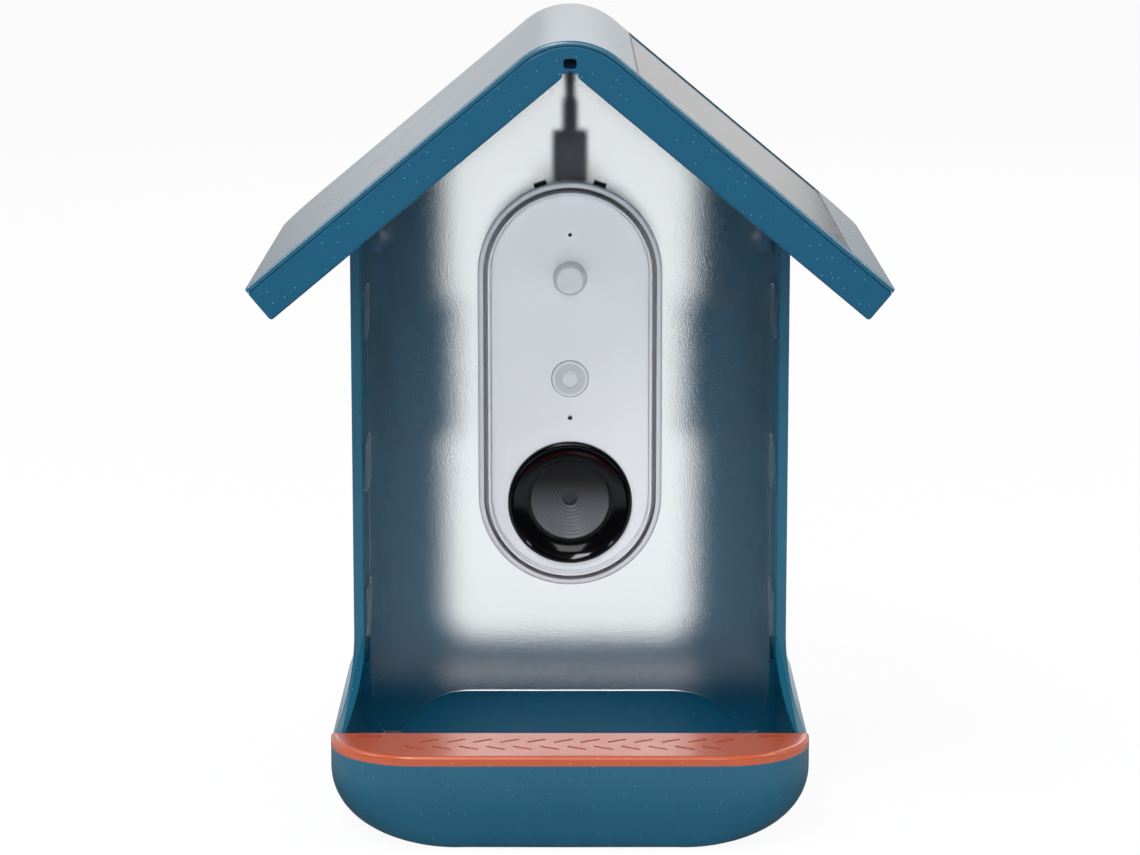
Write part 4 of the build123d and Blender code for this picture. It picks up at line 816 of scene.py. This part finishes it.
slat = block(GRILLE_PLACE, (1.7 * MM, 1.5 * MM, 5.5 * MM))
soften(slat, 0.25 * MM)
middle_slat = (SLAT_COUNT - 1) / 2
slats = copies_of(slat, [((k - middle_slat) * SLAT_PITCH, 0.0, 0.0) for k in range(SLAT_COUNT)])
rail = block(GRILLE_PLACE, (82.6 * MM, 0.9 * MM, 0.8 * MM))
soften(rail, 0.2 * MM)
select_only(rail, slats)
bpy.ops.object.join()
settle(bpy.context.object, "vent_grille", ramp_teal)

# %% [markdown]
# **Camera back screws.** Four pan head screws close the camera's two shells. A low cylinder gets
# its recess by insetting the top face and pushing it in, and its rim is rounded with a bevel.

# %% Camera back screws
SCREW_RADIUS = 2.3 * MM
SCREW_HEIGHT = 1.2 * MM
SCREW_STANDOFF = 0.3 * MM
SCREW_COLUMNS = (-17 * MM, 17 * MM)
SCREW_ROWS = (-33 * MM, 33 * MM)

bpy.ops.mesh.primitive_cylinder_add(
    vertices=32,
    radius=SCREW_RADIUS,
    depth=SCREW_HEIGHT,
    location=(0, 0, 0),
    rotation=(radians(-90), 0, 0),
)
screw = bpy.context.object
select_only(screw)
bpy.ops.object.transform_apply(location=False, rotation=True, scale=False)
pick_faces(screw, lambda face: face.normal.y > 0.9)
bpy.ops.mesh.inset(thickness=0.8 * MM)
bpy.ops.mesh.extrude_region_move(TRANSFORM_OT_translate={"value": (0, -0.5 * MM, 0)})
bpy.ops.transform.resize(value=(0.55, 1.0, 0.9))
bpy.ops.object.mode_set(mode="OBJECT")
soften(screw, 0.22 * MM)
back_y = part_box("camera_rear_shell")[1][1]
screw.location = (0, back_y + SCREW_STANDOFF, middle_of("camera_rear_shell")[2])
screws = copies_of(screw, [(x, 0, z) for x in SCREW_COLUMNS for z in SCREW_ROWS])
settle(screws, "camera_back_screws", plated_steel)

# %% [markdown]
# **Insert threads.** The brass inserts take the bracket's and the pole's screws. A thread is a
# small triangle that climbs as it turns, which is what the Screw modifier does to a profile.

# %% Threads in the brass inserts
BORE_RADIUS = 2.55 * MM
THREAD_PITCH = 0.8 * MM
THREAD_PROFILE = 0.34 * MM
THREAD_SINK = 0.05 * MM
THREAD_START = 0.6 * MM
THREAD_MARGIN = 1.6 * MM


def thread(name, length, place, turned):
    """Triangular thread inside a bore, from a profile that the Screw modifier winds."""
    bpy.ops.mesh.primitive_circle_add(
        vertices=3, radius=THREAD_PROFILE, location=(0, 0, 0), rotation=(radians(90), 0, 0)
    )
    piece = bpy.context.object
    select_only(piece)
    piece.location = (BORE_RADIUS - THREAD_SINK, 0, THREAD_START)
    bpy.ops.object.transform_apply(location=True, rotation=True, scale=False)
    bpy.ops.object.modifier_add(type="SCREW")
    wind = piece.modifiers[-1]
    wind.axis = "Z"
    wind.screw_offset = THREAD_PITCH
    wind.iterations = int((length - THREAD_MARGIN) / THREAD_PITCH)
    wind.steps = 28
    wind.render_steps = 28
    wind.use_merge_vertices = True
    bpy.ops.object.modifier_apply(modifier=wind.name)
    piece.rotation_euler = turned
    piece.location = place
    settle(piece, name, insert_brass)


for number in (1, 2):
    low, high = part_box(f"bracket_insert_{number}")
    x, _, z = middle_of(f"bracket_insert_{number}")
    mouth = (x, high[1], z)
    thread(f"bracket_insert_thread_{number}", high[1] - low[1], mouth, (radians(90), 0, 0))
low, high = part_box("pole_insert")
x, y, _ = middle_of("pole_insert")
thread("pole_insert_thread", high[2] - low[2], (x, y, low[2]), (0, 0, 0))

# %% [markdown]
# **Strain relief ribs.** The rubber sleeve above the plug has shallow rings, so that it bends
# evenly. A ring is a torus that is drawn out a little along the sleeve in edit mode.

# %% Strain relief ribs
RIB_COUNT = 5
RIB_PITCH = 1.75 * MM
FIRST_RIB = 1.6 * MM

x, y, _ = middle_of("strain_relief")
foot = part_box("strain_relief")[0][2]
bpy.ops.mesh.primitive_torus_add(
    major_segments=40,
    minor_segments=8,
    major_radius=2.2 * MM,
    minor_radius=0.42 * MM,
    location=(x, y, foot + FIRST_RIB),
)
rib = bpy.context.object
bpy.ops.object.mode_set(mode="EDIT")
bpy.ops.transform.resize(value=(1.0, 1.0, 1.25))
bpy.ops.object.mode_set(mode="OBJECT")
ribs = copies_of(rib, [(0, 0, k * RIB_PITCH) for k in range(RIB_COUNT)])
settle(ribs, "strain_relief_ribs", cable_grey)

# %% [markdown]
# **Grip ridges on the door's pull.** Three rounded bars give a fingertip something to hold.

# %% Grip ridges on the door's pull
RIDGE_PITCH = 1.5 * MM

x, _, z = middle_of("door_pull")
pull_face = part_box("door_pull")[1][1]
bpy.ops.mesh.primitive_cylinder_add(
    vertices=20,
    radius=0.5 * MM,
    depth=11.0 * MM,
    location=(x, pull_face, z),
    rotation=(0, radians(90), 0),
)
ridge = bpy.context.object
soften(ridge, 0.3 * MM, 3)
ridges = copies_of(ridge, [(0, 0, k * RIDGE_PITCH) for k in (-1, 0, 1)])
settle(ridges, "door_pull_ridges", perch_orange, "rear_door")

# %% [markdown]
# **Chips.** The main board inside the camera carries three chips: a low block each, with rows of
# pins.

# %% Chips on the main board
PIN_ROOM = 1.3 * MM
PIN_PITCH = 1.2 * MM
PIN_REACH = 1.6 * MM
PIN_HEIGHT = 0.5 * MM
PIN_SHARE = 0.3


def chip(name, x, z, width, height, thickness, lift):
    """Chip in front of the main board: a softened block with pins on both long sides."""
    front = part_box("main_board")[0][1] - lift
    body = block((x, front, z), (width, thickness, height))
    soften(body, 0.25 * MM)
    count = int(height / PIN_ROOM)
    pin = block(
        (x, front + thickness * PIN_SHARE, z),
        (width + PIN_REACH, thickness * PIN_SHARE, PIN_HEIGHT),
    )
    pins = copies_of(pin, [(0, 0, (k - (count - 1) / 2) * PIN_PITCH) for k in range(count)])
    settle(pins, name + "_pins", plated_steel)
    settle(body, name, chip_black)


chip("main_chip", 0.0, 128 * MM, 11 * MM, 11 * MM, 1.4 * MM, 0.7 * MM)
chip("memory_chip", 4 * MM, 148 * MM, 8 * MM, 6 * MM, 1.0 * MM, 0.5 * MM)
chip("radio_chip", -6 * MM, 108 * MM, 7 * MM, 7 * MM, 1.2 * MM, 0.6 * MM)
